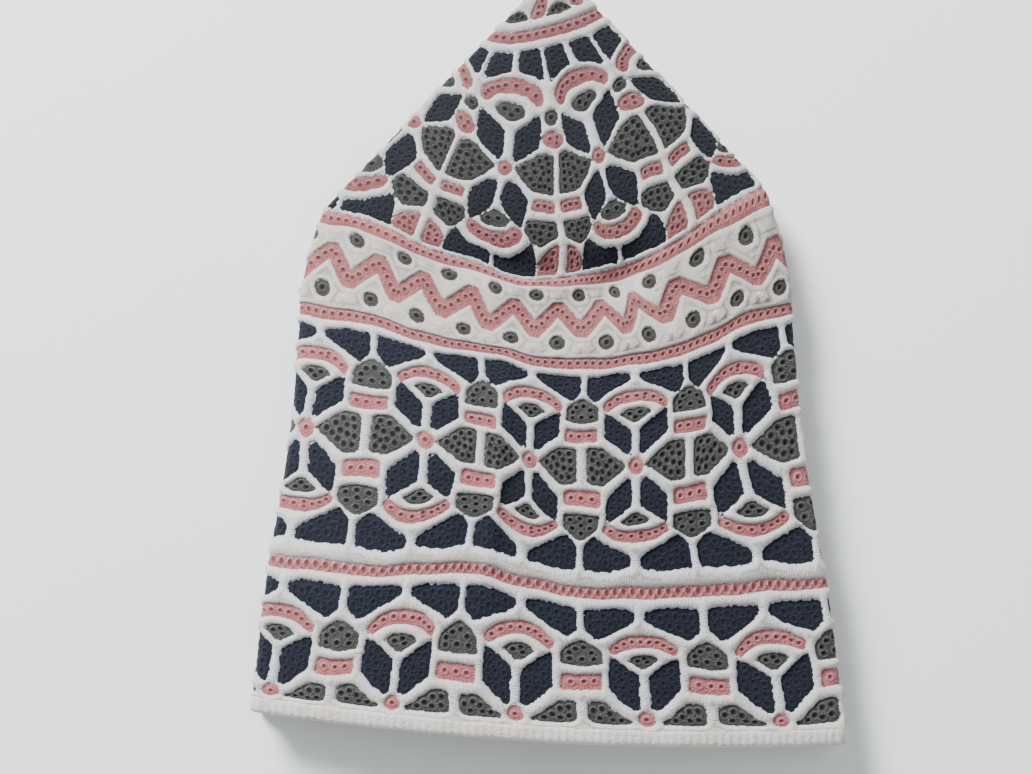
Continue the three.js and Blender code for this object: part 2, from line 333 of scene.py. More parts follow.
def make_cloth_grid():
    """The outer face as rows of points evenly spaced round the cap from the front's middle, with normals."""
    rows = []
    for distance in np.arange(FIRST_ROW, MERIDIAN + 3 * ROW_STEP, ROW_STEP):
        points = fold_row(distance)
        points = np.concatenate([points, points[:1]])
        length = np.concatenate([[0], np.cumsum(np.linalg.norm(np.diff(points, axis=0), axis=1))])
        start = length[FRONT_SPANS // 2]
        wanted = (start + length[-1] * np.arange(AROUND) / AROUND) % length[-1]
        rows.append(np.stack([np.interp(wanted, length, points[:, k]) for k in range(3)], 1))
    grid = np.array(rows)
    used = grid[:int(MERIDIAN / ROW_STEP) + 1]
    low, high = used.min((0, 1)), used.max((0, 1))
    box_low, box_high = np.array(cad_bounds) / MM
    shift = (box_low + box_high) / 2 - (low + high) / 2
    grid += [shift[0], shift[1], 0]
    round_step = np.roll(grid, -1, 1) - np.roll(grid, 1, 1)
    down_step = np.gradient(grid, axis=0)
    normal = np.cross(down_step, round_step)
    normal /= np.maximum(np.linalg.norm(normal, axis=2, keepdims=True), 1e-9)
    return grid, normal


CLOTH, FACING = make_cloth_grid()


def read_grid(grid, turn, distance):
    """Values of a grid at turns round the cap (0 to 1) and distances from the crown's centre."""
    column = (turn % 1) * AROUND
    row = np.clip((distance - FIRST_ROW) / ROW_STEP, 0, len(grid) - 1.001)
    i, j = row.astype(int), column.astype(int)
    fi, fj = (row - i)[:, None], (column - j)[:, None]
    i2, j, j2 = i + 1, j % AROUND, (j + 1) % AROUND
    upper = grid[i, j] * (1 - fj) + grid[i, j2] * fj
    lower = grid[i2, j] * (1 - fj) + grid[i2, j2] * fj
    return upper * (1 - fi) + lower * fi


# How far parts of the pattern lie from where a ruled pattern would have them on the front panel. Each row
# is a turn in 720ths, a distance from the crown's centre, and a move in millimetres: to the right and up
# on the flat crown, and round the cap and down it on the side.
CROWN_MOVES = (
    (-27, 61.4, 1.6, -3.3), (33, 61.4, -3.7, -0.4), (3, 46.1, -1.5, -1.9), (3, 52.9, -0.6, -1.8),
    (3, 63.2, 0.2, -1.6), (3, 73.2, 0.9, -0.8), (3, 80.4, 1.4, -0.6), (3, 88.3, 2.5, 0.2),
    (-57, 46.1, -1.8, -1.9), (-57, 52.9, 0.1, -1.9), (-57, 63.2, 1.2, -2.3), (-57, 73.2, 3.4, -1.4),
    (-57, 80.4, 4.7, -0.1), (-57, 88.3, 6.0, -0.9), (-27, 44.2, -1.7, -3.5), (-27, 35.8, -3.1, -3.8),
    (-27, 77.7, 3.0, -2.2), (-27, 84.2, 4.2, -0.8), (-27, 91.6, 5.7, -0.3), (33, 44.2, -3.4, 0.0),
    (33, 35.8, -2.2, -0.9), (33, 77.7, -4.0, -0.3), (33, 84.2, -4.1, 0.5), (33, 91.6, -5.6, -0.1),
    (63, 46.1, -4.4, 1.9), (63, 52.9, -4.3, 2.8), (63, 63.2, -2.7, 3.0), (63, 73.2, -4.2, 3.0),
    (63, 80.4, -5.3, 1.7), (63, 88.3, -4.6, 2.3), (-79, 71.6, 3.0, -0.1), (-78, 82.3, 1.6, 1.5),
    (-75, 89.3, 4.6, -0.3), (81, 89.3, -2.9, 3.3), (-27, 29.3, -4.2, -2.9), (3, 30.7, -3.6, -0.9),
    (33, 29.3, -4.1, -0.2), (63, 29.8, -2.6, -0.5), (-57, 29.8, -5.4, -3.6), (-61, 21.9, -6.5, -3.4),
    (-19, 21.9, -4.8, -2.1), (33, 21.9, -5.0, -0.3), (86, 21.9, -2.7, 0.0), (7, 16.6, -6.1, -0.1),
)
SIDE_MOVES = (
    (-87, 154.9, 2.0, 0.9), (-47, 154.9, 4.4, -1.3), (-7, 154.9, 0.6, -0.1), (33, 154.9, -3.0, 0.0),
    (73, 154.9, -5.6, -2.1), (-67, 154.9, 3.4, -0.7), (-27, 154.9, 3.6, -1.9), (13, 154.9, -1.4, 0.3),
    (53, 154.9, -4.5, -1.8), (-87, 139.9, 4.0, 0.0), (-47, 139.9, 5.3, -2.3), (-7, 139.9, 1.3, -1.0),
    (33, 139.9, -3.2, -0.4), (73, 139.9, -6.2, -2.4), (-87, 169.9, 2.4, 0.6), (-47, 169.9, 3.2, -1.4),
    (-7, 169.9, 0.4, -1.1), (33, 169.9, -3.6, -0.1), (73, 169.9, -3.8, -0.6), (-67, 133.4, 5.5, -0.3),
    (-27, 133.4, 4.1, -0.7), (13, 133.4, -1.0, 1.9), (53, 133.4, -4.1, 0.7), (-67, 176.4, 2.6, -1.8),
    (-27, 176.4, 1.9, -5.2), (13, 176.4, -2.2, -1.8), (53, 176.4, -4.8, -2.5), (-87, 126.2, 4.8, 0.9),
    (-47, 126.2, 5.6, 0.1), (-7, 126.2, 1.6, 1.0), (33, 126.2, -2.7, 1.3), (73, 126.2, -8.2, -0.7),
    (-87, 183.6, 1.4, -2.2), (-47, 183.6, 2.5, -3.1), (-7, 183.6, -0.9, -3.8), (33, 183.6, -4.2, -2.5),
    (73, 183.6, -3.9, -2.9), (-87, 220.3, 0.5, 1.7), (-47, 220.3, -0.6, 0.7), (-7, 220.3, -2.2, 0.9),
    (33, 220.3, -2.5, 1.0), (73, 220.3, -1.4, 1.4), (-67, 207.3, 0.9, 2.8), (-27, 207.3, -0.8, 0.4),
    (13, 207.3, -2.1, 1.3), (53, 207.3, -2.9, 1.8), (-87, 205.7, 1.7, 1.0), (-47, 205.7, 1.0, -0.2),
    (-7, 205.7, -1.6, -0.5), (33, 205.7, -2.8, 0.7), (73, 205.7, -2.3, 1.3), (-87, 191.8, 1.6, 2.7),
    (-47, 191.8, 2.1, 0.2), (-7, 191.8, -1.2, 0.4), (33, 191.8, -3.7, 3.1), (73, 191.8, -3.8, 2.2),
    (-87, 105.0, 6.1, -1.7), (-69, 105.0, 6.4, -3.3), (-51, 105.0, 5.7, -3.4), (-33, 105.0, 5.2, -2.3),
    (-15, 105.0, 3.3, -0.7), (3, 105.0, 0.9, -0.3), (21, 105.0, -1.3, -0.1), (39, 105.0, -6.2, -0.3),
    (57, 105.0, -8.2, -1.1), (75, 105.0, -6.4, -1.8), (93, 105.0, -4.7, 2.0), (-78, 111.8, 6.2, -2.7),
    (-60, 111.8, 6.2, -2.4), (-42, 111.8, 4.9, -1.9), (-24, 111.8, 3.5, 0.1), (-6, 111.8, 1.2, 0.0),
    (12, 111.8, -0.8, 0.4), (30, 111.8, -3.0, 0.2), (48, 111.8, -6.8, -1.1), (66, 111.8, -6.2, -1.1),
    (84, 111.8, -5.7, -0.3), (-78, 100.4, 5.8, -3.7), (-60, 100.4, 7.6, -4.9), (-42, 100.4, 6.6, -3.0),
    (-24, 100.4, 5.0, -2.4), (-6, 100.4, 1.6, -0.5), (12, 100.4, -0.8, -0.6), (30, 100.4, -5.3, -0.8),
    (48, 100.4, -9.5, -0.7), (66, 100.4, -9.2, -2.5), (84, 100.4, -5.9, -0.6), (-87, 115.8, 4.6, -0.8),
    (-69, 115.8, 5.3, -1.9), (-51, 115.8, 4.9, -1.1), (-33, 115.8, 3.9, 0.0), (-15, 115.8, 1.9, 0.8),
    (3, 115.8, 0.4, 0.7), (21, 115.8, -0.8, 0.7), (39, 115.8, -2.8, 0.4), (57, 115.8, -4.5, -0.8),
    (75, 115.8, -5.5, -1.9), (-85, 94.8, 4.6, -0.5), (-59, 94.8, 5.9, -1.6), (-42, 94.8, 5.5, -2.2),
    (-23, 94.8, 4.2, 0.2), (-12, 94.8, 2.9, 1.5), (2, 94.8, 0.8, 1.3), (17, 94.8, -1.9, 0.5),
    (33, 94.8, -4.5, -0.4), (54, 94.8, -6.5, -1.3), (72, 94.8, -5.2, -2.6), (89, 94.8, -3.7, -1.4),
    (-95, 122.0, 4.9, 0.5), (-83, 122.0, 5.2, -1.1), (-68, 122.0, 5.5, -2.7), (-55, 122.0, 5.4, -2.4),
    (-43, 122.0, 4.8, -1.8), (-31, 122.0, 3.9, -1.8), (-21, 122.0, 2.9, -2.2), (-11, 122.0, 1.9, -0.8),
    (-3, 122.0, 1.1, 0.6), (10, 122.0, -0.3, 0.7), (22, 122.0, -1.9, 1.0), (36, 122.0, -3.3, 0.4),
    (48, 122.0, -4.5, 0.5), (62, 122.0, -5.7, -0.5), (75, 122.0, -6.2, -2.2), (86, 122.0, -6.1, -0.9),
    (96, 122.0, -5.8, 1.2), (-91, 187.8, 1.6, 0.7), (-70, 187.8, 1.9, 0.3), (-46, 187.8, 2.1, -1.3),
    (-24, 187.8, 0.4, -3.7), (-13, 187.8, -0.6, -2.3), (-2, 187.8, -1.1, -0.7), (8, 187.8, -1.8, 0.2),
    (27, 187.8, -3.5, 0.6), (47, 187.8, -4.0, 0.1), (65, 187.8, -3.8, 0.1), (85, 187.8, -3.7, 0.7),
    (97, 187.8, -3.7, 0.9), (3, 80.4, 1.4, 0.7), (3, 88.3, 2.4, -0.1), (-57, 80.4, 4.5, -2.0),
    (-57, 88.3, 5.6, -1.9), (-27, 77.7, 3.6, 1.5), (-27, 84.2, 4.3, -0.1), (-27, 91.6, 5.2, -0.9),
    (33, 77.7, -4.3, -0.7), (33, 84.2, -3.9, -1.5), (33, 91.6, -5.0, -1.3), (63, 80.4, -4.0, -4.1),
    (63, 88.3, -2.7, -4.3), (-78, 82.3, 0.3, -2.2), (-75, 89.3, 3.7, -2.4), (81, 89.3, -0.1, -4.4),
)
MOVE_REACH = 11.0
MOVE_EASE = 0.05
SEAM_TURN = 2 * math.pi * CROWN_RADIUS


def reach_of_moves(places, centres):
    """How much each centre's move counts at each place."""
    parts = []
    for first in range(0, len(places), 20000):
        gaps = ((places[first:first + 20000, None] - centres) ** 2).sum(2)
        parts.append(np.exp(-gaps / (2 * MOVE_REACH ** 2)))
    return np.concatenate(parts)


def smooth_moves(places, centres, moves):
    """A smooth field of moves that nearly passes through the given ones."""
    own = reach_of_moves(centres, centres) + MOVE_EASE * np.eye(len(centres))
    return reach_of_moves(places, centres) @ np.linalg.solve(own, moves)


def on_disc(turn, distance):
    angle = 2 * math.pi * turn
    return np.stack([distance * np.sin(angle), -distance * np.cos(angle)], 1)


def moved_pattern(turn, distance):
    """Where the pattern's points lie on the cloth, as turns and distances."""
    crown, side = np.array(CROWN_MOVES), np.array(SIDE_MOVES)
    centres = on_disc(crown[:, 0] / BORDER_POINTS, crown[:, 1])
    place = on_disc(turn, distance)
    there = place + smooth_moves(place, centres, crown[:, 2:])
    there_turn = np.arctan2(there[:, 0], -there[:, 1]) / (2 * math.pi)
    crown_turn = turn + (there_turn - turn + 0.5) % 1 - 0.5
    crown_distance = np.hypot(there[:, 0], there[:, 1])
    centres = np.stack([side[:, 0] / BORDER_POINTS * SEAM_TURN, side[:, 1]], 1)
    place = np.stack([((turn + 0.5) % 1 - 0.5) * SEAM_TURN, distance], 1)
    moves = smooth_moves(place, centres, side[:, 2:])
    held = 1 - smooth(HEM_TOP - 5.0, HEM_TOP, distance)
    side_turn, side_distance = turn + moves[:, 0] / SEAM_TURN, distance + moves[:, 1] * held
    share = smooth(CROWN_SLANT - 17.0, CROWN_SLANT, distance)
    return (crown_turn + (side_turn - crown_turn) * share,
            crown_distance + (side_distance - crown_distance) * share)


def hand_drift(turn, distance):
    """How far the handwork wanders from its ruled place, in millimetres round the cap and down it."""
    angle = 2 * math.pi * turn
    fade = np.clip(distance / 60, 0, 1)
    near = np.minimum(np.abs(distance - CROWN_SLANT), np.abs(distance - HEM_TOP))
    around = 0.16 * np.sin(23 * angle + distance / 7) + 0.12 * np.sin(41 * angle - distance / 4.3 + 1)
    down = 0.16 * np.sin(29 * angle + distance / 9 + 2) + 0.12 * np.sin(47 * angle + distance / 5.1)
    return around * fade, down * fade * np.clip(near / 4, 0, 1)


def make_pattern_grid():
    """The cloth's points and normals under the pattern's own turns and distances."""
    distance, turn = np.meshgrid(FIRST_ROW + ROW_STEP * np.arange(len(CLOTH)), np.arange(AROUND) / AROUND,
                                 indexing="ij")
    distance, turn = distance.ravel(), turn.ravel()
    new_turn, new_distance = moved_pattern(turn, distance)
    around, down = hand_drift(turn, distance)
    new_turn = new_turn + around / (SEAM_TURN * np.clip(distance / CROWN_SLANT, 0.05, 1.05))
    new_distance = new_distance + down
    shape = (len(CLOTH), AROUND, 3)
    return (read_grid(CLOTH, new_turn, new_distance).reshape(shape),
            read_grid(FACING, new_turn, new_distance).reshape(shape))


PATTERN_CLOTH, PATTERN_FACING = make_pattern_grid()


def on_cloth(turn, distance, height, ruled=False):
    """Points at heights over the cloth's outer face, in metres, on the pattern or on the ruled cloth."""
    cloth, facing = (CLOTH, FACING) if ruled else (PATTERN_CLOTH, PATTERN_FACING)
    normal = read_grid(facing, turn, distance)
    normal /= np.maximum(np.linalg.norm(normal, axis=1, keepdims=True), 1e-9)
    return (read_grid(cloth, turn, distance) + normal * height[:, None]) * MM


# The charts of the embroidery

WHITE, NAVY, GREY, PINK = range(4)
BESIDE = np.array([1.0, 0.0, 0.5, 1.0])
FLOWERS = 18
TEETH = 40
SECTORS = 12
SPOKES = 8
ROW_SCALE = 32.5

# Where the zones of the side begin and end, as distances from the crown's centre
TOP_CORD = (CROWN_SLANT, CROWN_SLANT + 3.7)
UPPER_CORD = (120.4, 123.6)
LOWER_CORD = (187.0, 189.0)
ROW_MIDDLE = 154.9
HEM_MIDDLE = 220.4
HEM_RING_DROP = 0.7

# Cells above a flower's ring: colour, eyelets (0 for as many as fit), how the outline is mirrored, and
# its points as shares of the half pitch from the flower's axis and shares of the row scale over the ring
FLOWER_CELLS = (
    (NAVY, 0, "pair", (
        (0.93, 0.885), (0.45, 0.9), (0.085, 0.884), (0.09, 0.83), (0.28, 0.775), (0.44, 0.735),
        (0.735, 0.65), (0.81, 0.67), (0.935, 0.745))),
    (PINK, 8, "axis", (
        (0, 0.724), (0.2, 0.711), (0.37, 0.678), (0.5, 0.63), (0.58, 0.585), (0.555, 0.535), (0.49, 0.512),
        (0.38, 0.555), (0.26, 0.588), (0.13, 0.605), (0, 0.61))),
    (GREY, 3, "axis", (
        (0, 0.535), (0.12, 0.528), (0.2, 0.505), (0.25, 0.475), (0.14, 0.425), (0.05, 0.385), (0, 0.38))),
    (NAVY, 0, "pair", (
        (0.54, 0.505), (0.42, 0.46), (0.25, 0.385), (0.08, 0.305), (0.08, 0.1), (0.16, 0.088),
        (0.35, 0.16), (0.555, 0.245))),
    (GREY, 7, "between", (
        (1, 0.68), (0.92, 0.67), (0.79, 0.628), (0.68, 0.575), (0.67, 0.425), (1, 0.415))),
    (PINK, 3, "between", ((1, 0.332), (0.69, 0.33), (0.685, 0.205), (1, 0.203))),
)
KITE = ((0.905, 0.13), (0.85, 0.146), (0.62, 0.146), (0.4, 0.078), (0.185, 0), (0.4, -0.078),
        (0.62, -0.146), (0.85, -0.146), (0.905, -0.13))
HEM_KITE = ((0.905, 0.096), (0.86, 0.114), (0.65, 0.114), (0.46, 0.048), (0.33, -0.012), (0.23, -0.04),
            (0.24, -0.066), (0.5, -0.068), (0.82, -0.066), (0.905, -0.03))
HEM_CELLS = (
    (NAVY, 0, "pair", (
        (0.93, 0.898), (0.45, 0.91), (0.085, 0.896), (0.09, 0.845), (0.28, 0.79), (0.44, 0.757),
        (0.72, 0.688), (0.79, 0.695), (0.93, 0.755))),
    (PINK, 8, "axis", (
        (0, 0.742), (0.2, 0.73), (0.37, 0.695), (0.49, 0.645), (0.555, 0.6), (0.535, 0.555), (0.48, 0.53),
        (0.38, 0.57), (0.26, 0.602), (0.13, 0.622), (0, 0.628))),
    FLOWER_CELLS[2],
    (NAVY, 0, "pair", (
        (0.54, 0.505), (0.42, 0.46), (0.25, 0.385), (0.08, 0.305), (0.08, 0.065), (0.16, 0.05),
        (0.35, 0.115), (0.555, 0.215))),
    (GREY, 7, "between", (
        (1, 0.668), (0.93, 0.66), (0.79, 0.615), (0.69, 0.56), (0.67, 0.425), (1, 0.415))),
    FLOWER_CELLS[5],
)
RING_RADIUS = 2.0

# Cells of a crown sector: the points are sectors from the flower's axis and shares of the crown's slant
CROWN_CELLS = (
    (NAVY, 0, "pair", (
        (0.065, 0.283), (0.45, 0.283), (0.46, 0.345), (0.452, 0.388), (0.3, 0.36), (0.07, 0.345))),
    (PINK, 8, "axis", (
        (0, 0.365), (0.15, 0.368), (0.3, 0.386), (0.41, 0.41), (0.425, 0.435), (0.39, 0.457), (0.32, 0.457),
        (0.26, 0.438), (0.2, 0.421), (0, 0.412))),
    (GREY, 3, "axis", (
        (0, 0.444), (0.1, 0.447), (0.165, 0.46), (0.185, 0.475), (0.15, 0.489), (0.05, 0.503), (0, 0.509))),
    (NAVY, 0, "pair", (
        (0.365, 0.488), (0.357, 0.535), (0.322, 0.59), (0.25, 0.607), (0.085, 0.642), (0.055, 0.615),
        (0.06, 0.545), (0.1, 0.53), (0.22, 0.512), (0.3, 0.496))),
    (GREY, 17, "pair", (
        (0.09, 0.66), (0.18, 0.639), (0.3, 0.617), (0.4, 0.611), (0.463, 0.62), (0.468, 0.7),
        (0.47, 0.75), (0.36, 0.744), (0.26, 0.73), (0.155, 0.693))),
    (PINK, 3, "pair", ((0.285, 0.762), (0.468, 0.776), (0.468, 0.813), (0.28, 0.798))),
    (GREY, 9, "pair", (
        (0.24, 0.832), (0.31, 0.831), (0.468, 0.842), (0.468, 0.891), (0.41, 0.901), (0.34, 0.913),
        (0.275, 0.897), (0.225, 0.868))),
    (PINK, 6, "pair", ((0.338, 0.984), (0.332, 0.95), (0.385, 0.926), (0.469, 0.912), (0.469, 0.986))),
    (NAVY, 0, "pair", (
        (0.034, 0.7), (0.11, 0.706), (0.175, 0.73), (0.236, 0.758), (0.23, 0.8), (0.21, 0.833),
        (0.197, 0.858), (0.15, 0.844), (0.1, 0.824), (0.04, 0.793), (0.022, 0.76))),
    (GREY, 2, "axis", (
        (0, 0.804), (0.05, 0.81), (0.11, 0.834), (0.09, 0.856), (0.05, 0.865), (0, 0.868))),
    (PINK, 8, "axis", (
        (0, 0.928), (0.07, 0.925), (0.13, 0.914), (0.19, 0.896), (0.205, 0.874), (0.178, 0.855),
        (0.135, 0.86), (0.09, 0.877), (0.045, 0.885), (0, 0.887))),
    (NAVY, 0, "pair", (
        (0.016, 0.953), (0.12, 0.946), (0.2, 0.928), (0.262, 0.902), (0.305, 0.92), (0.322, 0.955),
        (0.325, 0.987), (0.018, 0.988))),
)
CROWN_DOTS = ((GREY, 1, 0.496, 1.85, 2.4), (PINK, 3, 0.569, 3.4, 2.6))
CROWN_RING_SHARE = 0.66
CROWN_CORD = (0.217 * CROWN_SLANT, 0.253 * CROWN_SLANT)


class Flat:
    """A flat drawing plane for a zone: turns between a unit's shares and millimetres on the plane."""

    def __init__(self, count, polar=False, girth=545.0):
        self.count = count
        self.polar = polar
        self.pitch = girth / count
        self.angle = 2 * math.pi / count * (1 if count == 1 else CROWN_RADIUS / CROWN_SLANT)

    def draw(self, across, distance):
        across, distance = np.asarray(across, float), np.asarray(distance, float)
        if self.polar:
            angle = across * self.angle
            return np.stack([distance * np.sin(angle), -distance * np.cos(angle)], -1)
        return np.stack([across * self.pitch, -distance], -1)

    def read(self, points):
        if self.polar:
            return np.arctan2(points[:, 0], -points[:, 1]) / self.angle, np.hypot(points[:, 0], points[:, 1])
        return points[:, 0] / self.pitch, -points[:, 1]

    def moved(self, points, units):
        across, distance = self.read(points)
        return self.draw(across + units, distance)


def closed_distance(points, starts, ends):
    """Distance from each point to the nearest of some segments, and that segment's index."""
    best = np.full(len(points), 1e9)
    index = np.zeros(len(points), int)
    if not len(starts):
        return best, index
    span = ends - starts
    size = np.maximum((span ** 2).sum(1), 1e-12)
    for first in range(0, len(points), 2000):
        part = points[first:first + 2000, None, :]
        t = np.clip(((part - starts) * span).sum(2) / size, 0, 1)
        gap = ((starts + span * t[..., None] - part) ** 2).sum(2)
        nearest = gap.argmin(1)
        rows = np.arange(len(nearest))
        best[first:first + 2000] = np.sqrt(gap[rows, nearest])
        index[first:first + 2000] = nearest
    return best, index


def inside(points, outline):
    """Which points are inside a closed outline."""
    x, y = points[:, 0, None], points[:, 1, None]
    a, b = outline, np.roll(outline, -1, 0)
    crosses = (a[:, 1] > y) != (b[:, 1] > y)
    height = np.where(np.abs(b[:, 1] - a[:, 1]) < 1e-12, 1e-12, b[:, 1] - a[:, 1])
    return (crosses & (x < (b[:, 0] - a[:, 0]) * (y - a[:, 1]) / height + a[:, 0])).sum(1) % 2 == 1


CORNER_CUT = 0.45
CELL_GROWTH = 0.12


def stitched_outline(corners, spacing, roughness):
    """A closed outline with blunted corners, evenly spaced points and a stitched, uneven edge."""
    corners = np.asarray(corners, float)
    ahead = np.roll(corners, -1, 0)
    length = np.linalg.norm(ahead - corners, axis=1)[:, None]
    cut = np.where(length > 1.7 * spacing, CORNER_CUT / length, 0)
    ends = np.stack([corners + (ahead - corners) * cut, ahead + (corners - ahead) * cut], 1).reshape(-1, 2)
    points = []
    for a, b in zip(ends, np.roll(ends, -1, 0)):
        gap = np.linalg.norm(b - a)
        spans = max(int(round(gap / spacing)), 1) if gap > 1e-6 else 0
        points += [a + (b - a) * k / spans for k in range(spans)]
    points = np.array(points)
    tangent = np.roll(points, -1, 0) - np.roll(points, 1, 0)
    normal = np.stack([tangent[:, 1], -tangent[:, 0]], 1) / np.linalg.norm(tangent, axis=1)[:, None]
    area = np.cross(points, np.roll(points, -1, 0)).sum()
    grow = CELL_GROWTH * math.copysign(1, area)
    points = points + normal * (grow + rng.uniform(-roughness, roughness, len(points)))[:, None]
    return points if area > 0 else points[::-1]


EYELET_SAMPLE = 0.4
EYELET_INSET = 0.7
EYELET_SPREAD_ROUNDS = 14
AREA_PER_EYELET = 4.6


def spread_eyelets(outline, count):
    """Places eyelets evenly in an outline: count of them, or as many as fit."""
    low, high = outline.min(0), outline.max(0)
    x, y = np.meshgrid(np.arange(low[0], high[0], EYELET_SAMPLE), np.arange(low[1], high[1], EYELET_SAMPLE))
    samples = np.stack([x.ravel(), y.ravel()], 1)
    samples = samples[inside(samples, outline)]
    gap, _ = closed_distance(samples, outline, np.roll(outline, -1, 0))
    samples = samples[gap > min(EYELET_INSET, gap.max() * 0.6)]
    count = count or max(int(len(samples) * 0.16 / AREA_PER_EYELET), 1)
    centres = samples[rng.choice(len(samples), count, replace=False)]
    for _ in range(EYELET_SPREAD_ROUNDS):
        nearest = ((samples[:, None] - centres) ** 2).sum(2).argmin(1)
        centres = np.array([
            samples[nearest == k].mean(0) if (nearest == k).any() else centres[k] for k in range(count)
        ])
    return centres


def thinned(candidates, kept, gap):
    """The candidates that are at least gap from each other and from all the points already kept."""
    array = np.asarray(kept, float).reshape(-1, 2)
    fresh = []
    for point in candidates:
        if len(array) and ((array - point) ** 2).sum(1).min() < gap * gap:
            continue
        if fresh and ((np.array(fresh) - point) ** 2).sum(1).min() < gap * gap:
            continue
        fresh.append(point)
    return np.array(fresh).reshape(-1, 2)


def circle(centre, radius_x, radius_y, count, phase=0.0):
    angle = phase + 2 * math.pi * np.arange(count) / count
    return np.stack([centre[0] + radius_x * np.cos(angle), centre[1] + radius_y * np.sin(angle)], 1)


class Cell:
    """A thread-filled patch of one colour, on its zone's drawing plane."""

    def __init__(self, colour, outline, eyelets, joined=None):
        self.colour = colour
        self.outline = outline
        self.eyelets = eyelets
        self.joined = np.zeros(len(outline), bool) if joined is None else joined


OUTLINE_SPACING = 0.9
ROUND_SPACING = 0.95
NAVY_ROUGHNESS = 0.16
CELL_ROUGHNESS = 0.1


def shaped_cells(flat, table, to_shares, flip=False):
    """Cells from a table of half or whole outlines. to_shares gives their unit shares and distances."""
    cells = []
    for colour, eyelets, mirror, points in table:
        points = np.array(points, float)
        if mirror == "pair":
            outlines = [points, points * [-1, 1]]
        else:
            axis = points[0, 0]
            back = points[::-1] * [-1, 1] + [2 * axis, 0]
            keep = np.abs(back[:, 0] - axis) > 1e-9
            outlines = [np.concatenate([points, back[keep]])]
        for outline in outlines:
            across, distance = to_shares(outline[:, 0], outline[:, 1], flip)
            rough = NAVY_ROUGHNESS if colour == NAVY else CELL_ROUGHNESS
            shape = stitched_outline(flat.draw(across, distance), OUTLINE_SPACING, rough)
            cells.append(Cell(colour, shape, spread_eyelets(shape, eyelets)))
    return cells


EYELET_RINGS = ((0.5, 6), (0.98, 8))


def thread_points(cell_eyelets, allowed):
    """Points that shape eyelets, and fillers between them, where allowed says so."""
    kept = np.array(cell_eyelets, float).reshape(-1, 2)
    for radius, count in EYELET_RINGS:
        for centre in cell_eyelets:
            ring = circle(centre, radius, radius, count, rng.uniform(0, 1))
            own = ((ring[:, None] - cell_eyelets) ** 2).sum(2).min(1) > (radius * 0.97) ** 2
            ring = ring[own & allowed(ring, 0.22)]
            kept = np.concatenate([kept, thinned(ring, kept, 0.34)])
    return kept


CORD_RELIEF = 0.85
NAVY_EYELET_DEPTH = 0.2
EYELET_DEPTH = 0.6
EYELET_RIM = 0.85
EYELET_RIM_WIDTH = 0.3
EYELET_HOLE = 0.42
CELL_FILLER = 1.0
CORD_FILLER = 1.3
FLOWER_EDGE_POINTS = 40


def rounded(gap):
    """A cord's height over the cells on either side of it."""
    return CORD_RELIEF * np.sqrt(np.clip(1 - (1 - np.clip(gap, 0, 1)) ** 2, 0, 1))


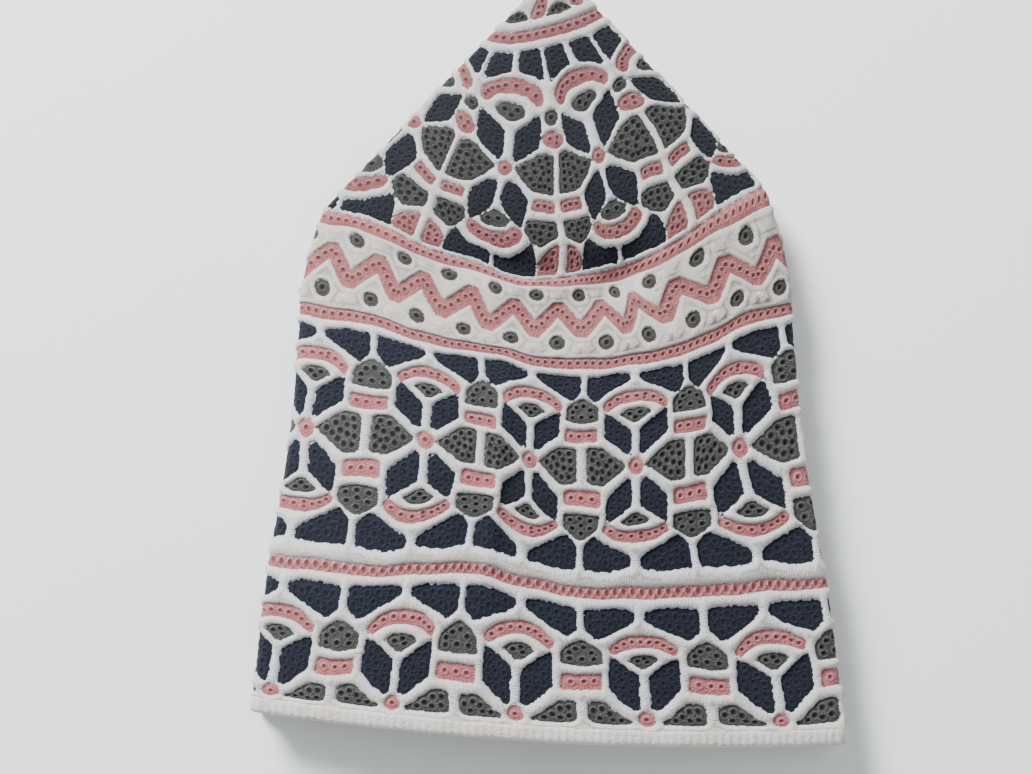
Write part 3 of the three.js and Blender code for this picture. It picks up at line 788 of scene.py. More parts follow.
def build_chart(flat, cells, low, high, low_points, high_points, background=WHITE, eyelets=None,
                relief=rounded, offsets=((0.4, 0.6), (0.95, 0.72)), whole=False, open_end=False):
    """Triangulates one unit of a zone between two distances. Gives its points as unit shares and distances,
    its triangles with their colours, each point's height, and the stitch coordinates of each corner.
    Cords fall away at both ends of a zone, but not at an open end."""
    outer_rows = []
    for distance, count in ((low, low_points), (high, high_points)):
        if count:
            across = np.arange(count) / count - 0.5
            outer_rows.append(flat.draw(across, np.full(count, distance)))
    starts, ends, owner = [], [], []
    for k, cell in enumerate(cells):
        keep = ~(cell.joined & np.roll(cell.joined, -1))
        starts.append(cell.outline[keep])
        ends.append(np.roll(cell.outline, -1, 0)[keep])
        owner.append(np.full(keep.sum(), k))
    units = (0,) if whole else (-1, 0, 1)
    rim_starts, rim_ends = [], []
    for row in outer_rows[:1] if open_end else outer_rows:
        line = np.concatenate([flat.moved(row, unit) for unit in units])
        rim_starts.append(line if whole else line[:-1])
        rim_ends.append(np.roll(line, -1, 0) if whole else line[1:])
    segment_start = np.concatenate([flat.moved(s, unit) for s in starts for unit in units] + rim_starts)
    segment_end = np.concatenate([flat.moved(e, unit) for e in ends for unit in units] + rim_ends)
    segment_owner = np.concatenate(
        [o for o in owner for unit in units] + [np.full(len(s), -1) for s in rim_starts]).astype(int)

    def room(points, gap):
        _, distance = flat.read(points)
        distances, _ = closed_distance(points, segment_start, segment_end)
        return (distance > low + gap * 0.8) & (distance < high - gap * 0.8) & (distances > gap * 0.86)

    free = np.zeros((0, 2))
    for cell in cells:
        def allowed(points, gap, cell=cell):
            near, _ = closed_distance(points, cell.outline, np.roll(cell.outline, -1, 0))
            return inside(points, cell.outline) & (near > gap)
        ring = thread_points(cell.eyelets, allowed)
        low_corner, high_corner = cell.outline.min(0), cell.outline.max(0)
        x, y = np.meshgrid(np.arange(low_corner[0], high_corner[0], CELL_FILLER),
                           np.arange(low_corner[1], high_corner[1], CELL_FILLER))
        filler = np.stack([x.ravel(), y.ravel()], 1) + rng.uniform(-0.3, 0.3, (x.size, 2))
        filler = thinned(filler[allowed(filler, 0.4)], ring, 0.62)
        free = np.concatenate([free, ring, filler])
    cell_outlines = [cell.outline for cell in cells]
    if background == WHITE:
        ridge_points = np.zeros((0, 2))
        for offset, gap in offsets:
            for outline in cell_outlines:
                tangent = np.roll(outline, -1, 0) - np.roll(outline, 1, 0)
                normal = np.stack([tangent[:, 1], -tangent[:, 0]], 1)
                normal /= np.linalg.norm(normal, axis=1)[:, None]
                moved = outline + normal * offset
                moved = moved[room(moved, offset)]
                ridge_points = np.concatenate([ridge_points, thinned(moved, ridge_points, gap)])
            for distance, count, sign in ((low, low_points, 1), (high, high_points, -1)):
                if count:
                    across = (np.arange(count) + 0.25) / count - 0.5
                    moved = flat.draw(across, np.full(count, distance + sign * offset))
                    moved = moved[room(moved, offset)]
                    ridge_points = np.concatenate([ridge_points, thinned(moved, ridge_points, gap)])
        step = 1 / 24 if flat.polar else CORD_FILLER / flat.pitch
        across, distance = np.meshgrid(np.arange(-0.5, 0.5, step),
                                       np.arange(low + 0.8, high - 0.8, CORD_FILLER))
        if whole:
            x, y = np.meshgrid(np.arange(-high, high, CORD_FILLER), np.arange(-high, high, CORD_FILLER))
            filler = np.stack([x.ravel(), y.ravel()], 1)
        else:
            filler = flat.draw(across.ravel(), distance.ravel())
        filler = filler + rng.uniform(-0.35, 0.35, filler.shape)
        outside_cells = np.ones(len(filler), bool)
        for outline in cell_outlines:
            for unit in units:
                outside_cells &= ~inside(filler, flat.moved(outline, unit))
        filler = filler[outside_cells & room(filler, 0.95)]
        free = np.concatenate([free, ridge_points, thinned(filler, ridge_points, 0.85)])
        background_eyelets = np.zeros((0, 2))
    else:
        background_eyelets = np.array(eyelets, float)
        copies = np.concatenate([flat.moved(background_eyelets, unit) for unit in units])

        def allowed(points, gap):
            across, distance = flat.read(points)
            fits = (distance > low + gap) & (distance < high - gap)
            return fits & (((points[:, None] - copies) ** 2).sum(2).min(1) > 0)
        free = np.concatenate([free, thread_points(background_eyelets, allowed)])
        background_eyelets = copies

    # The unit and its neighbours' nearest parts, so that the triangles repeat across its edges
    vertices, edges, faces, face_cell = [], [], [], []
    total = 0

    def add(points):
        nonlocal total
        vertices.append(points)
        total += len(points)
        return total - len(points)

    margin = 0.5 + 5.0 / (flat.pitch if not flat.polar else high * flat.angle)
    for unit in units:
        for k, outline in enumerate(cell_outlines):
            moved = flat.moved(outline, unit)
            across, _ = flat.read(moved)
            if not whole and np.abs(across).min() > margin:
                continue
            first = add(moved)
            faces.append(list(range(first, first + len(moved))))
            face_cell.append(k if unit == 0 else -2)
        points = flat.moved(free, unit)
        across, _ = flat.read(points)
        add(points if whole else points[np.abs(across) < margin])
    for line in (np.concatenate([flat.moved(row, unit) for unit in units]) for row in outer_rows):
        if not whole:
            across, _ = flat.read(line)
            line = line[np.abs(across) < margin]
        first = add(line)
        last = first + len(line) - 1
        edges += [(k, k + 1) for k in range(first, last)]
        if whole:
            edges.append((last, first))
    points = np.concatenate(vertices)
    result = delaunay_2d_cdt([Vector(p) for p in points], edges, faces, 0, 1e-5, True)
    flat_points = np.array([tuple(v) for v in result[0]])
    triangles = np.array([tuple(f) for f in result[2]])
    kinds = np.array([face_cell[ids[0]] if ids else -1 for ids in result[5]])
    middle = flat_points[triangles].mean(1)
    across, distance = flat.read(middle)
    in_zone = (distance > low) & (distance < high) if low_points else distance < high
    own = kinds >= 0
    back = (kinds == -1) & in_zone & ((np.abs(across) <= 0.5) | whole)
    chosen = own | back
    triangles, kinds, middle = triangles[chosen], kinds[chosen], middle[chosen]
    used, remap = np.unique(triangles, return_inverse=True)
    flat_points = flat_points[used]
    triangles = remap.reshape(-1, 3)

    # Heights: cords rise between cells, and threads sink into each eyelet
    gap, nearest = closed_distance(flat_points, segment_start, segment_end)
    is_back_point = np.zeros(len(flat_points), bool)
    is_back_point[triangles[kinds == -1].ravel()] = True
    all_eyelets = [cell.eyelets for cell in cells] + [background_eyelets]
    eyelet_points = np.concatenate([np.asarray(e, float).reshape(-1, 2) for e in all_eyelets])
    height = np.zeros(len(flat_points))
    if len(eyelet_points):
        away = ((flat_points[:, None] - eyelet_points) ** 2).sum(2)
        radius = np.sqrt(away.min(1))
        shallow = [cell.colour == NAVY for cell in cells for _ in cell.eyelets]
        shallow += [False] * len(background_eyelets)
        depth = np.where(shallow, NAVY_EYELET_DEPTH, EYELET_DEPTH)[away.argmin(1)]
        rim = 0.5 * depth * np.exp(-((radius - EYELET_RIM) / EYELET_RIM_WIDTH) ** 2)
        thread = rim - depth * np.exp(-(radius / EYELET_HOLE) ** 2) + rng.normal(0, 0.04, len(height))
        height = thread * np.clip(gap / 0.35, 0, 1)
    cord = relief(gap) + rng.normal(0, 0.02, len(height)) * (gap > 0.3)
    if background == WHITE:
        height = np.where(is_back_point, cord, height)

    # Stitch coordinates: from the nearest eyelet in a thread cell, and along the edge on a cord
    stitch = np.zeros((len(triangles), 3, 3))
    stitch[:, :, 2] = gap[triangles]
    corners = flat_points[triangles]
    for k, cell in list(enumerate(cells)) + [(-1, None)]:
        picked = kinds == k
        centres = cell.eyelets if cell else background_eyelets
        if not picked.any() or not len(centres):
            continue
        nearest_eyelet = ((middle[picked][:, None] - centres) ** 2).sum(2).argmin(1)
        stitch[picked, :, :2] = corners[picked] - np.asarray(centres)[nearest_eyelet][:, None]
    if background == WHITE:
        picked = kinds == -1
        lengths = np.linalg.norm(segment_end - segment_start, axis=1)
        along_start = np.concatenate([[0], np.cumsum(lengths)[:-1]])
        _, segment = closed_distance(middle[picked], segment_start, segment_end)
        a, b = segment_start[segment][:, None], segment_end[segment][:, None]
        span = b - a
        size = np.maximum((span ** 2).sum(2), 1e-12)
        t = ((corners[picked] - a) * span).sum(2) / size
        stitch[picked, :, 0] = along_start[segment][:, None] + t * np.sqrt(size)
    owner_colour = np.array([cell.colour for cell in cells] + [PINK])
    warm = BESIDE[owner_colour[segment_owner[nearest]]]
    across, distance = flat.read(flat_points)
    colours = np.where(kinds == -1, background, owner_colour[kinds])
    return {"across": across, "distance": distance, "height": height, "warm": warm,
            "triangles": triangles, "colours": colours, "stitch": stitch}


def flower_shares(middle):
    def to_shares(x, y, flip):
        return x / 2, middle - (-y if flip else y) * ROW_SCALE
    return to_shares


def ring_cell(flat, distance):
    ring = circle(flat.draw(0, distance), RING_RADIUS, RING_RADIUS, 14)
    outline = stitched_outline(ring, ROUND_SPACING, 0.06)
    return Cell(PINK, outline, np.array([outline.mean(0)]))


def full_row_chart():
    flat = Flat(FLOWERS)
    shares = flower_shares(ROW_MIDDLE)
    cells = shaped_cells(flat, FLOWER_CELLS, shares)
    cells += shaped_cells(flat, FLOWER_CELLS, shares, flip=True)
    cells += shaped_cells(flat, ((GREY, 13, "pair", KITE),), shares)
    cells.append(ring_cell(flat, ROW_MIDDLE))
    return flat, build_chart(flat, cells, UPPER_CORD[1], LOWER_CORD[0], FLOWER_EDGE_POINTS,
                             FLOWER_EDGE_POINTS)


def hem_row_chart():
    flat = Flat(FLOWERS, girth=575.0)
    shares = flower_shares(HEM_MIDDLE)
    cells = shaped_cells(flat, HEM_CELLS, shares)
    cells += shaped_cells(flat, ((GREY, 6, "pair", HEM_KITE),), shares)
    cells.append(ring_cell(flat, HEM_MIDDLE + HEM_RING_DROP))
    return flat, build_chart(flat, cells, LOWER_CORD[1], HEM_TOP, FLOWER_EDGE_POINTS, FLOWER_EDGE_POINTS,
                             open_end=True)


ZIGZAG_MIDDLE = 108.4
ZIGZAG_SWING = 3.5
ZIGZAG_HALF = 2.25
ZIGZAG_POINT = 1.2
DOT_RADIUS = 2.1
UPPER_DOTS = 100.4
LOWER_DOTS = 115.8
PUCKER_OFFSETS = ((0.4, 0.6), (0.95, 0.75), (1.55, 0.9), (2.2, 1.1))


def puckered(gap):
    """The ground's height: a rim along each edge, a pinched line beyond it, and a puffed middle."""
    return 0.95 * np.exp(-((gap - 0.65) / 0.48) ** 2) + 2.3 * smooth(1.25, 3.9, gap)


def zigzag_chart():
    """One tooth: a zigzag peak in the unit's middle, a dot under the peak and one over each trough."""
    flat = Flat(TEETH)
    edge_points = 18
    across = np.arange(edge_points + 1) / edge_points - 0.5
    centre = ZIGZAG_MIDDLE - ZIGZAG_SWING * ZIGZAG_POINT * (1 - 4 * np.abs(across))
    slant = math.hypot(1, 4 * ZIGZAG_SWING * ZIGZAG_POINT / flat.pitch)
    crest, dip = ZIGZAG_MIDDLE - ZIGZAG_SWING, ZIGZAG_MIDDLE + ZIGZAG_SWING
    top = np.clip(centre - ZIGZAG_HALF * slant, crest - ZIGZAG_HALF, dip - ZIGZAG_HALF)
    bottom = np.clip(centre + ZIGZAG_HALF * slant, crest + ZIGZAG_HALF, dip + ZIGZAG_HALF)
    rough = rng.uniform(-0.1, 0.1, (2, len(across)))
    rough[:, [0, -1]] = 0
    upper = flat.draw(across, top + rough[0])
    lower = flat.draw(across, bottom + rough[1])
    outline = np.concatenate([lower, upper[::-1]])
    joined = np.zeros(len(outline), bool)
    joined[[0, -1, edge_points, edge_points + 1]] = True
    path = np.interp(np.linspace(-0.5, 0.5, 10)[:-1] + 1 / 18, across, np.arange(len(across)))
    eyelet_across = np.interp(path, np.arange(len(across)), across)
    eyelets = flat.draw(eyelet_across, np.interp(eyelet_across, across, (top + bottom) / 2))
    cells = [Cell(PINK, outline, eyelets, joined)]
    for place, distance in ((0.0, LOWER_DOTS), (0.5, UPPER_DOTS)):
        ring = circle(flat.draw(place, distance), DOT_RADIUS, DOT_RADIUS, 12)
        dot = stitched_outline(ring, OUTLINE_SPACING, 0.07)
        cells.append(Cell(GREY, dot, np.array([dot.mean(0)])))
    return flat, build_chart(flat, cells, TOP_CORD[1], UPPER_CORD[0], edge_points, edge_points,
                             relief=puckered, offsets=PUCKER_OFFSETS)


def crown_sector_chart():
    flat = Flat(SECTORS, polar=True)
    cells = shaped_cells(flat, CROWN_CELLS, lambda x, y, flip: (x, y * CROWN_SLANT))
    for colour, count, share, wide, tall in CROWN_DOTS:
        oval = circle(flat.draw(0.5, share * CROWN_SLANT), wide, tall, 14)
        shape = stitched_outline(oval, OUTLINE_SPACING, 0.07)
        cells.append(Cell(colour, shape, spread_eyelets(shape, count)))
    cells.append(ring_cell(flat, CROWN_RING_SHARE * CROWN_SLANT))
    return flat, build_chart(flat, cells, CROWN_CORD[1], CROWN_SLANT, 20, 60)


HUB_RADIUS = 2.4


def crown_centre_chart():
    """The middle of the crown: pink spokes from a round centre, with grey wedges between them."""
    flat = Flat(1, polar=True)
    cells = []
    hub = stitched_outline(circle((0, 0), HUB_RADIUS, HUB_RADIUS, 16), OUTLINE_SPACING, 0.05)
    cells.append(Cell(PINK, hub, np.array([[0.0, 0.0]])))
    for k in range(SPOKES):
        middle = k / SPOKES
        direction = flat.draw(middle, 1.0)
        side = np.array([-direction[1], direction[0]])
        corners = [direction * r + side * s for r, s in (
            (6.0, -1.5), (15.8, -2.2), (17.0, -1.2), (17.0, 1.2), (15.8, 2.2), (6.0, 1.5))]
        spoke = stitched_outline(corners, ROUND_SPACING, 0.08)
        cells.append(Cell(PINK, spoke, spread_eyelets(spoke, 7)))
        wedge = flat.draw(np.array([0.0, -0.2, -0.32, 0.0, 0.32, 0.2]) / SPOKES + (k + 0.5) / SPOKES,
                          [13.9, 14.8, 17.0, 17.6, 17.0, 14.8])
        wedge = stitched_outline(wedge, 0.95, 0.1)
        cells.append(Cell(GREY, wedge, spread_eyelets(wedge, 5)))
    return flat, build_chart(flat, cells, 0, CROWN_CORD[0], 0, 240, whole=True)


def cord_chart(low, high, count, polar=False, edge_points=6, eyelets=2):
    """A pink line of eyelets side by side."""
    flat = Flat(count, polar=polar)
    middle = (low + high) / 2
    across = (np.arange(eyelets) + 0.5) / eyelets - 0.5
    centres = flat.draw(across, np.full(eyelets, middle))
    return flat, build_chart(flat, [], low, high, edge_points, edge_points, background=PINK, eyelets=centres)


# Where each zone's first unit is, in turns from the front's middle: all are whole border points
FLOWER_START = -7 / BORDER_POINTS
TOOTH_START = 3 / BORDER_POINTS
SECTOR_START = 33 / BORDER_POINTS

crown_zones = [
    (crown_centre_chart(), 0.0),
    (cord_chart(CROWN_CORD[0], CROWN_CORD[1], 60, polar=True, edge_points=4, eyelets=1), 0.0),
    (crown_sector_chart(), SECTOR_START),
]
side_zones = [
    (cord_chart(TOP_CORD[0], TOP_CORD[1], 120), 0.0),
    (zigzag_chart(), TOOTH_START),
    (cord_chart(UPPER_CORD[0], UPPER_CORD[1], 120), 0.0),
    (full_row_chart(), FLOWER_START),
    (cord_chart(LOWER_CORD[0], LOWER_CORD[1], 120), 0.0),
    (hem_row_chart(), FLOWER_START),
]


def make_material(name, build):
    material = bpy.data.materials.new(name)
    material.use_nodes = True
    tree = material.node_tree
    shader = tree.nodes["Principled BSDF"]
    build(tree, shader)
    return material


def new_node(tree, kind, **inputs):
    node = tree.nodes.new(kind)
    for name, value in inputs.items():
        node.inputs[name.replace("_", " ")].default_value = value
    return node


def math_node(tree, operation, a, b=None):
    node = tree.nodes.new("ShaderNodeMath")
    node.operation = operation
    for socket, value in zip(node.inputs, (a, b)):
        if value is None:
            continue
        if isinstance(value, (int, float)):
            socket.default_value = value
        else:
            tree.links.new(value, socket)
    return node.outputs[0]


def blend_colours(tree, factor, first, second):
    node = tree.nodes.new("ShaderNodeMix")
    node.data_type = "RGBA"
    for name, value in (("Factor", factor), ("A", first), ("B", second)):
        socket = next(s for s in node.inputs if s.name == name and s.enabled)
        if isinstance(value, (int, float)):
            socket.default_value = value
        elif isinstance(value, tuple):
            socket.default_value = (*value, 1)
        else:
            tree.links.new(value, socket)
    return next(s for s in node.outputs if s.enabled)


def times(tree, first, second):
    return math_node(tree, "MULTIPLY", first, second)


def plus(tree, first, second):
    return math_node(tree, "ADD", first, second)


def minus(tree, first, second):
    return math_node(tree, "SUBTRACT", first, second)


def ramp(tree, value, low, high):
    """Turns a value between low and high into a smooth share from 0 to 1."""
    node = tree.nodes.new("ShaderNodeMapRange")
    node.interpolation_type = "SMOOTHSTEP"
    node.inputs["From Min"].default_value = low
    node.inputs["From Max"].default_value = high
    tree.links.new(value, node.inputs["Value"])
    return node.outputs["Result"]


def noise(tree, scale, detail=2.0, vector=None):
    node = new_node(tree, "ShaderNodeTexNoise", Scale=scale, Detail=detail)
    if vector is None:
        coordinates = tree.nodes.new("ShaderNodeTexCoord")
        vector = coordinates.outputs["Object"]
    tree.links.new(vector, node.inputs["Vector"])
    return node.outputs["Fac"]


def srgb(*values):
    def linear(v):
        v /= 255
        return v / 12.92 if v <= 0.04045 else ((v + 0.055) / 1.055) ** 2.4
    return tuple(linear(v) for v in values)


def add_bump(tree, shader, height, distance, strength=1.0, under=None):
    node = new_node(tree, "ShaderNodeBump", Strength=strength, Distance=distance)
    tree.links.new(height, node.inputs["Height"])
    if under is not None:
        tree.links.new(under, node.inputs["Normal"])
    tree.links.new(node.outputs["Normal"], shader.inputs["Normal"])
    return node.outputs["Normal"]


def finish_cotton(shader, roughness=0.92, sheen=0.25):
    shader.inputs["Roughness"].default_value = roughness
    shader.inputs["Specular IOR Level"].default_value = 0.25
    shader.inputs["Sheen Weight"].default_value = sheen
    shader.inputs["Sheen Roughness"].default_value = 0.5


def stitch_parts(tree):
    """The stitch coordinates: across and along from an eyelet or cord, and the distance to the edge."""
    stitch = tree.nodes.new("ShaderNodeAttribute")
    stitch.attribute_name = "stitch"
    parts = tree.nodes.new("ShaderNodeSeparateXYZ")
    tree.links.new(stitch.outputs["Vector"], parts.inputs["Vector"])
    return parts.outputs["X"], parts.outputs["Y"], parts.outputs["Z"]


def hump(tree, value, middle, width):
    """A smooth hump of a value round its middle."""
    away = math_node(tree, "DIVIDE", minus(tree, value, middle), width)
    return math_node(tree, "EXPONENT", times(tree, times(tree, away, away), -1.0))


def ragged_edge(tree, edge, operation):
    """From 0 over the edge to 1 inside, where the edge wanders as fuzz and stitches do."""
    fuzz = minus(tree, noise(tree, 1000.0, 2.0), 0.5)
    return ramp(tree, math_node(tree, operation, edge, fuzz), -0.06, 0.06)


WHITE_FUZZ = srgb(192, 194, 198)
NAVY_BASE = srgb(28, 32, 46)
GREY_BASE = srgb(76, 78, 76)
PINK_BASE = srgb(172, 108, 110)
# The brown tone of the painted shade round the zigzag band
ZIGZAG_SHADE_TONE = srgb(62, 47, 36)


def add_zigzag_shade(tree, base, share):
    """The colour with painted shade round the zigzag band, blended toward a brown shade tone."""
    shade_tone = tree.nodes.new("ShaderNodeAttribute")
    shade_tone.attribute_name = "zigzag_shade"
    return blend_colours(tree, times(tree, shade_tone.outputs["Fac"], share), base, ZIGZAG_SHADE_TONE)


def thread_material(name, light, dark, hole_shade, rim, sheen, hole_reach, rim_radius):
    """Cotton threads that run from the rim of each eyelet into its hole, with a painted highlight on the rim
    and painted shade in the hole.
    """
    def build(tree, shader):
        x, y, edge = stitch_parts(tree)
        angle = math_node(tree, "ARCTAN2", y, x)
        radius = math_node(tree, "SQRT", plus(tree, times(tree, x, x), times(tree, y, y)))
        wobble = times(tree, noise(tree, 900.0), 5.0)
        turns = plus(tree, times(tree, angle, 16.0), wobble)
        threads = times(tree, math_node(tree, "SINE", turns), ramp(tree, radius, 0.3, 0.6))
        rim_share = hump(tree, radius, rim_radius, 0.26)
        height = plus(tree, times(tree, threads, 0.2), noise(tree, 1500.0, 3.0))
        height = plus(tree, height, times(tree, rim_share, 0.8))
        add_bump(tree, shader, height, 0.0003, 0.9)
        shade = plus(tree, times(tree, threads, 0.1), noise(tree, 330.0, 3.0))
        cloth = blend_colours(tree, ramp(tree, shade, 0.3, 0.72), dark, light)
        # Painted highlight: the eyelet rims take the light rim tone, most on the side toward the upper left
        facing = minus(tree, times(tree, y, 0.8), times(tree, x, 0.6))
        crescent_highlight = plus(tree, times(tree, ramp(tree, facing, -0.2, 0.7), 0.75), 0.25)
        cloth = blend_colours(tree, times(tree, rim_share, crescent_highlight), cloth, rim)
        # Painted shade: each eyelet's hole takes the dark hole tone
        mouth = plus(tree, radius, times(tree, noise(tree, 1200.0), 0.35))
        base = blend_colours(tree, ramp(tree, mouth, *hole_reach), hole_shade, cloth)
        base = blend_colours(tree, ragged_edge(tree, edge, "ADD"), WHITE_FUZZ, base)
        # Painted shade round the zigzag band
        tree.links.new(add_zigzag_shade(tree, base, 0.24), shader.inputs["Base Color"])
        finish_cotton(shader, 0.9, sheen)
    return make_material(name, build)


def cord_material(name, share):
    """White thread wrapped over cords: cool where navy is beside it, and cream elsewhere, with painted shade
    at the cells' edges, along the pinched lines and round the zigzag.
    """
    # The whites are scaled by the region's share, which is painted shade on the crown
    def region_shaded_white(*values):
        return tuple(v * share for v in srgb(*values))

    def build(tree, shader):
        beside = tree.nodes.new("ShaderNodeAttribute")
        beside.attribute_name = "warm"
        warm = ramp(tree, beside.outputs["Fac"], 0.0, 0.5)
        along, _, edge = stitch_parts(tree)
        wobble = times(tree, noise(tree, 700.0), 6.0)
        turns = plus(tree, times(tree, along, 15.0), wobble)
        threads = math_node(tree, "SINE", turns)
        height = plus(tree, times(tree, threads, 0.2), noise(tree, 1200.0, 4.0))
        add_bump(tree, shader, height, 0.0003, 0.85)
        tone = blend_colours(tree, warm, region_shaded_white(210, 214, 223), region_shaded_white(220, 215, 206))
        shade = ramp(tree, noise(tree, 140.0, 4.0), 0.3, 0.7)
        shade_tone = blend_colours(tree, shade, region_shaded_white(204, 202, 197), region_shaded_white(224, 224, 222))
        mixed = blend_colours(tree, 0.35, tone, shade_tone)
        # Painted shade: the cord darkens to grey toward the cells' edges
        mixed = blend_colours(tree, ramp(tree, edge, -0.1, 0.6), srgb(184, 184, 186), mixed)
        # Painted shade along the pinched line beside each edge, in patches
        pinch_shade = times(tree, hump(tree, edge, 1.5, 0.34), ramp(tree, noise(tree, 40.0), 0.36, 0.55))
        mixed = blend_colours(tree, times(tree, pinch_shade, 0.8), mixed, srgb(152, 146, 136))
        below = blend_colours(tree, ramp(tree, beside.outputs["Fac"], 0.5, 1.0), GREY_BASE, PINK_BASE)
        below = blend_colours(tree, warm, NAVY_BASE, below)
        mixed = blend_colours(tree, ragged_edge(tree, edge, "SUBTRACT"), below, mixed)
        # Painted shade round the zigzag band
        tree.links.new(add_zigzag_shade(tree, mixed, 0.12), shader.inputs["Base Color"])
        finish_cotton(shader, 0.93, 0.3)
    return make_material(name, build)


def plain_cotton(name, light, dark, scale):
    def build(tree, shader):
        coordinates = tree.nodes.new("ShaderNodeTexCoord")
        weave = new_node(tree, "ShaderNodeTexVoronoi", Scale=scale)
        tree.links.new(coordinates.outputs["Object"], weave.inputs["Vector"])
        height = plus(tree, weave.outputs["Distance"], noise(tree, scale * 0.7, 3.0))
        add_bump(tree, shader, height, 0.00015, 0.7)
        shade = ramp(tree, noise(tree, 90.0, 4.0), 0.3, 0.7)
        tree.links.new(blend_colours(tree, shade, dark, light), shader.inputs["Base Color"])
        finish_cotton(shader, 0.92, 0.3)
    return make_material(name, build)


# Each thread's name, light, dark, hole and rim tones, sheen, the hole's reach and the rim's radius. The hole
# tone is painted shade in each eyelet's hole, and the rim tone a painted highlight on its rim
THREADS = {
    NAVY: ("navy", ((26, 31, 46), (18, 22, 35), (15, 18, 30), (30, 35, 51)), 0.06, (0.3, 0.8), 0.85),
    GREY: ("grey", ((74, 76, 74), (57, 59, 58), (33, 34, 35), (93, 95, 92)), 0.1, (0.5, 1.14), 1.0),
    PINK: ("pink", ((183, 117, 118), (164, 93, 97), (140, 70, 75), (200, 140, 139)), 0.18,
           (0.42, 0.97), 0.85),
}


def thread_materials(region, cord_share, share):
    """A region's cords and its three thread materials, with their colours scaled by shares. The crown's
    lower shares are painted shade on the whole crown.
    """
    materials = {WHITE: cord_material(region + "_white_cotton", cord_share)}
    for colour, (thread, tones, sheen, hole_reach, rim_radius) in THREADS.items():
        scaled = [tuple(v * share for v in srgb(*tone)) for tone in tones]
        name = region + "_" + thread + "_cotton"
        materials[colour] = thread_material(name, *scaled, sheen, hole_reach, rim_radius)
    return materials


# Colour shares by region: the crown's materials are darker copies of the side's, as painted shade on the
# crown
CORD_SHARES = {"crown": 0.68, "side": 0.85}
THREAD_SHARES = {"crown": 0.48, "side": 0.84}
MATERIALS = {
    region: thread_materials(region, CORD_SHARES[region], THREAD_SHARES[region]) for region in CORD_SHARES
}
NAMES = {WHITE: "cords", NAVY: "navy_cells", GREY: "grey_cells", PINK: "pink_cells"}


def make_piece(name, points, triangles, material, layers=None, stitch=None):
    """A smooth mesh piece from arrays, in metres."""
    mesh = bpy.data.meshes.new(name)
    mesh.vertices.add(len(points))
    mesh.vertices.foreach_set("co", np.asarray(points, np.float32).ravel())
    sides = triangles.shape[1]
    mesh.loops.add(triangles.size)
    mesh.loops.foreach_set("vertex_index", triangles.ravel().astype(np.int32))
    mesh.polygons.add(len(triangles))
    mesh.polygons.foreach_set("loop_start", np.arange(0, triangles.size, sides, dtype=np.int32))
    mesh.polygons.foreach_set("use_smooth", np.ones(len(triangles), bool))
    mesh.update(calc_edges=True)
    for layer_name, values in (layers or {}).items():
        layer = mesh.attributes.new(layer_name, "FLOAT", "POINT")
        layer.data.foreach_set("value", values.astype(np.float32))
    if stitch is not None:
        layer = mesh.attributes.new("stitch", "FLOAT_VECTOR", "CORNER")
        layer.data.foreach_set("vector", stitch.astype(np.float32).ravel())
    mesh.validate()
    mesh.materials.append(material)
    piece = bpy.data.objects.new(name, mesh)
    bpy.context.scene.collection.objects.link(piece)
    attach(piece, "root")
    return piece


# Points of neighbouring units that round to the same step are merged
TURN_STEPS = 72000
STEPS_PER_MM = 200


def make_embroidery(region, zones):
    """Repeats each zone's unit round the cap, and makes one piece for each colour."""
    pieces = {}
    for colour in (WHITE, NAVY, GREY, PINK):
        turns, distances, heights, warms, triangles, stitches = [], [], [], [], [], []
        total = 0
        for (flat, chart), start in zones:
            picked = chart["colours"] == colour
            if not picked.any():
                continue
            used, remap = np.unique(chart["triangles"][picked], return_inverse=True)
            corners = remap.reshape(-1, 3)
            stitch = chart["stitch"][picked]
            for unit in range(flat.count):
                turns.append((chart["across"][used] + unit) / flat.count + start)
                distances.append(chart["distance"][used])
                heights.append(chart["height"][used])
                warms.append(chart["warm"][used])
                triangles.append(corners + total)
                stitches.append(stitch)
                total += len(used)
        turns, distances = np.concatenate(turns) % 1, np.concatenate(distances)
        heights, warms = np.concatenate(heights), np.concatenate(warms)
        triangles, stitches = np.concatenate(triangles), np.concatenate(stitches)
        keys = np.stack([np.round(turns * TURN_STEPS) % TURN_STEPS, np.round(distances * STEPS_PER_MM)], 1)
        keys = keys.astype(np.int64)
        _, first, merged = np.unique(keys, axis=0, return_index=True, return_inverse=True)
        triangles = merged.ravel()[triangles]
        whole = (triangles[:, 0] != triangles[:, 1]) & (triangles[:, 1] != triangles[:, 2])
        whole &= triangles[:, 0] != triangles[:, 2]
        triangles, stitches = triangles[whole], stitches[whole]
        turns, distances, heights, warms = turns[first], distances[first], heights[first], warms[first]
        points = on_cloth(turns, distances, heights)
        name = region + "_" + NAMES[colour]
        # Painted shade: the zigzag band between the top and upper cords gets a share that darkens it toward
        # a brown shade tone
        zigzag_shade = smooth(*TOP_CORD, distances) * (1 - smooth(*UPPER_CORD, distances))
        layers = {"warm": warms, "zigzag_shade": zigzag_shade}
        material = MATERIALS[region][colour]
        pieces[colour] = make_piece(name, points, triangles, material, layers, stitches)
        print(name, len(triangles), "triangles")
    return pieces


crown_pieces = make_embroidery("crown", crown_zones)
side_pieces = make_embroidery("side", side_zones)
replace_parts(crown_pieces[WHITE], "crown")
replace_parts(side_pieces[WHITE], "side_band")


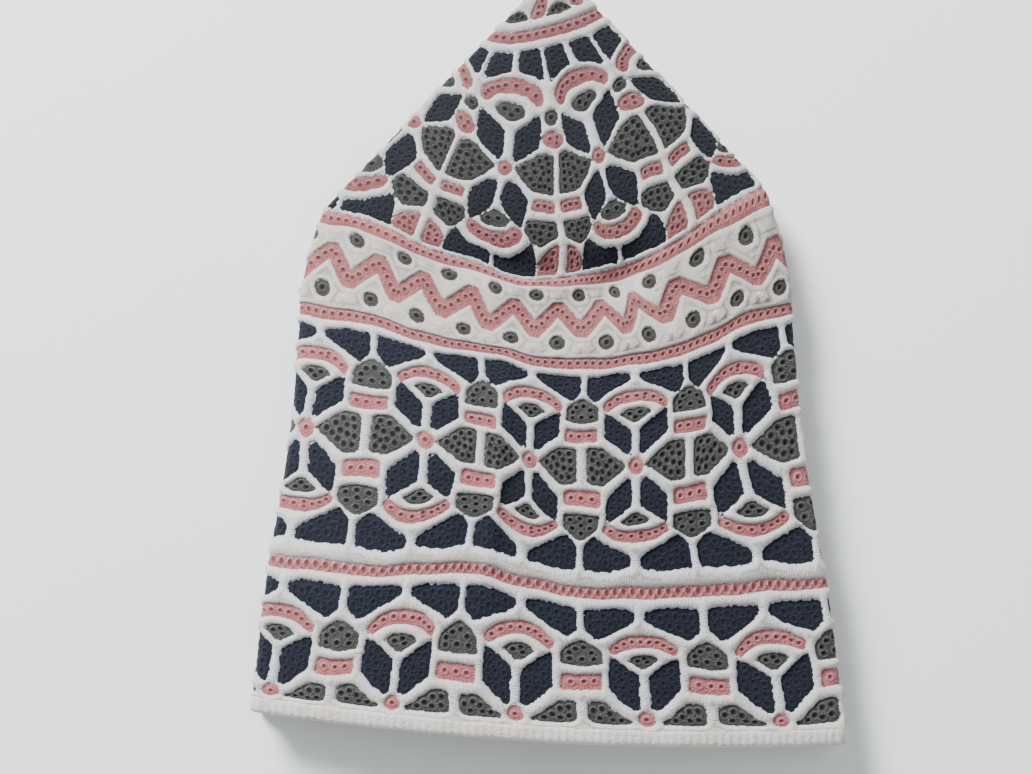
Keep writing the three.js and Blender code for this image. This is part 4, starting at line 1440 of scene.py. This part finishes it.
def grid_piece(name, turns, distances, heights, material, closed_rows=False):
    """A piece from rows of points round the cap. Each row has one distance and a height for every turn."""
    count = len(turns)
    rows = len(distances)
    turn = np.tile(turns, rows)
    points = on_cloth(turn, np.repeat(distances, count), np.asarray(heights).ravel(), ruled=True)
    row, column = np.meshgrid(np.arange(rows if closed_rows else rows - 1), np.arange(count), indexing="ij")
    near, far = row * count, (row + 1) % rows * count
    after = (column + 1) % count
    quads = np.stack([near + column, far + column, far + after, near + after], -1).reshape(-1, 4)
    return make_piece(name, points, quads, material), quads


LINING_COLUMNS = 360
LINING_ROW = 3
LINING_DRIFT = 0.05


def make_lining(name, low, high):
    turns = np.arange(LINING_COLUMNS) / LINING_COLUMNS
    distances = np.arange(low, high + 0.1, (high - low) / round((high - low) / LINING_ROW))
    heights = np.full((len(distances), len(turns)), -CLOTH_THICKNESS)
    heights += rng.normal(0, LINING_DRIFT, heights.shape)
    piece, _ = grid_piece(name, turns, distances, heights, LINING)
    piece.data.flip_normals()
    return piece


LINING = plain_cotton("lining_cotton", srgb(236, 234, 228), srgb(218, 215, 208), 1500.0)
HEM = plain_cotton("hem_cotton", srgb(214, 211, 205), srgb(199, 195, 187), 1300.0)
make_lining("crown_lining", 0.17 * CROWN_SLANT, CROWN_SLANT)
make_lining("side_lining", CROWN_SLANT, HEM_TOP + 0.5)

# The hem band's section: how far down each row is from the band's top, its height, and its share of ribbing
HEM_SECTION = (
    (-0.4, 0.6, 0.0), (0.0, 0.9, 0.3), (0.8, 0.86, 1.0), (1.6, 0.76, 1.0), (2.4, 0.64, 1.0),
    (3.1, 0.46, 1.0), (3.5, 0.12, 0.6), (3.75, -0.5, 0.3), (3.8, -1.1, 0.0), (3.65, -1.75, 0.3),
    (3.1, -2.2, 1.0),
    (2.0, -2.32, 1.0), (0.8, -2.3, 1.0), (0.1, -2.15, 1.0), (-0.15, -1.6, 0.3), (-0.15, -0.7, 0.0),
)
HEM_RIBS = 290
RIB_RELIEF = 0.11
# The hem's soft waves: height, number round the cap, and phase
HEM_WAVES = ((0.12, 37, 1), (0.1, 61, 0))


def make_hem():
    count = HEM_RIBS * 4
    turns = np.arange(count) / count
    rib = RIB_RELIEF * np.cos(2 * math.pi * turns * HEM_RIBS)
    soft = sum(height * np.sin(2 * math.pi * number * turns + phase) for height, number, phase in HEM_WAVES)
    heights = [height + ribbing * rib * (1 if height > -1 else -1) for _, height, ribbing in HEM_SECTION]
    distances = np.array([HEM_TOP + down for down, _, _ in HEM_SECTION])
    heights = np.array(heights) + 0.5 * soft
    piece, _ = grid_piece("hem_binding", turns, distances, heights, HEM, closed_rows=True)
    return piece


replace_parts(make_hem(), "hem_band")


# The stage

def make_floor():
    mesh = bpy.data.meshes.new("floor")
    size = 3.0
    corners = [(-size, -size, 0), (size, -size, 0), (size, size, 0), (-size, size, 0)]
    mesh.from_pydata(corners, [], [(0, 1, 2, 3)])

    def build(tree, shader):
        shader.inputs["Base Color"].default_value = (*srgb(246, 249, 249), 1)
        shader.inputs["Roughness"].default_value = 0.95
        shader.inputs["Specular IOR Level"].default_value = 0.1
    mesh.materials.append(make_material("pale_floor", build))
    floor = bpy.data.objects.new("floor", mesh)
    bpy.context.scene.collection.objects.link(floor)


def add_light(name, place, size, power, colour):
    data = bpy.data.lights.new(name, "AREA")
    data.size = size
    data.energy = power
    data.color = colour
    light = bpy.data.objects.new(name, data)
    light.location = place
    aim = Vector((0, 0, 0)) - light.location
    light.rotation_euler = aim.to_track_quat("-Z", "Y").to_euler()
    bpy.context.scene.collection.objects.link(light)


make_floor()
add_light("window", place=(-0.75, 1.0, 0.85), size=0.55, power=68.0, colour=(1.0, 1.0, 1.0))
add_light("fill", place=(0.7, 0.2, 1.3), size=1.0, power=5.0, colour=(1.0, 0.98, 0.95))
SKY_COLOUR = (0.93, 0.96, 1.0, 1)
SKY_STRENGTH = 0.47
world = bpy.data.worlds.new("world")
world.use_nodes = True
world.node_tree.nodes["Background"].inputs["Color"].default_value = SKY_COLOUR
world.node_tree.nodes["Background"].inputs["Strength"].default_value = SKY_STRENGTH
bpy.context.scene.world = world
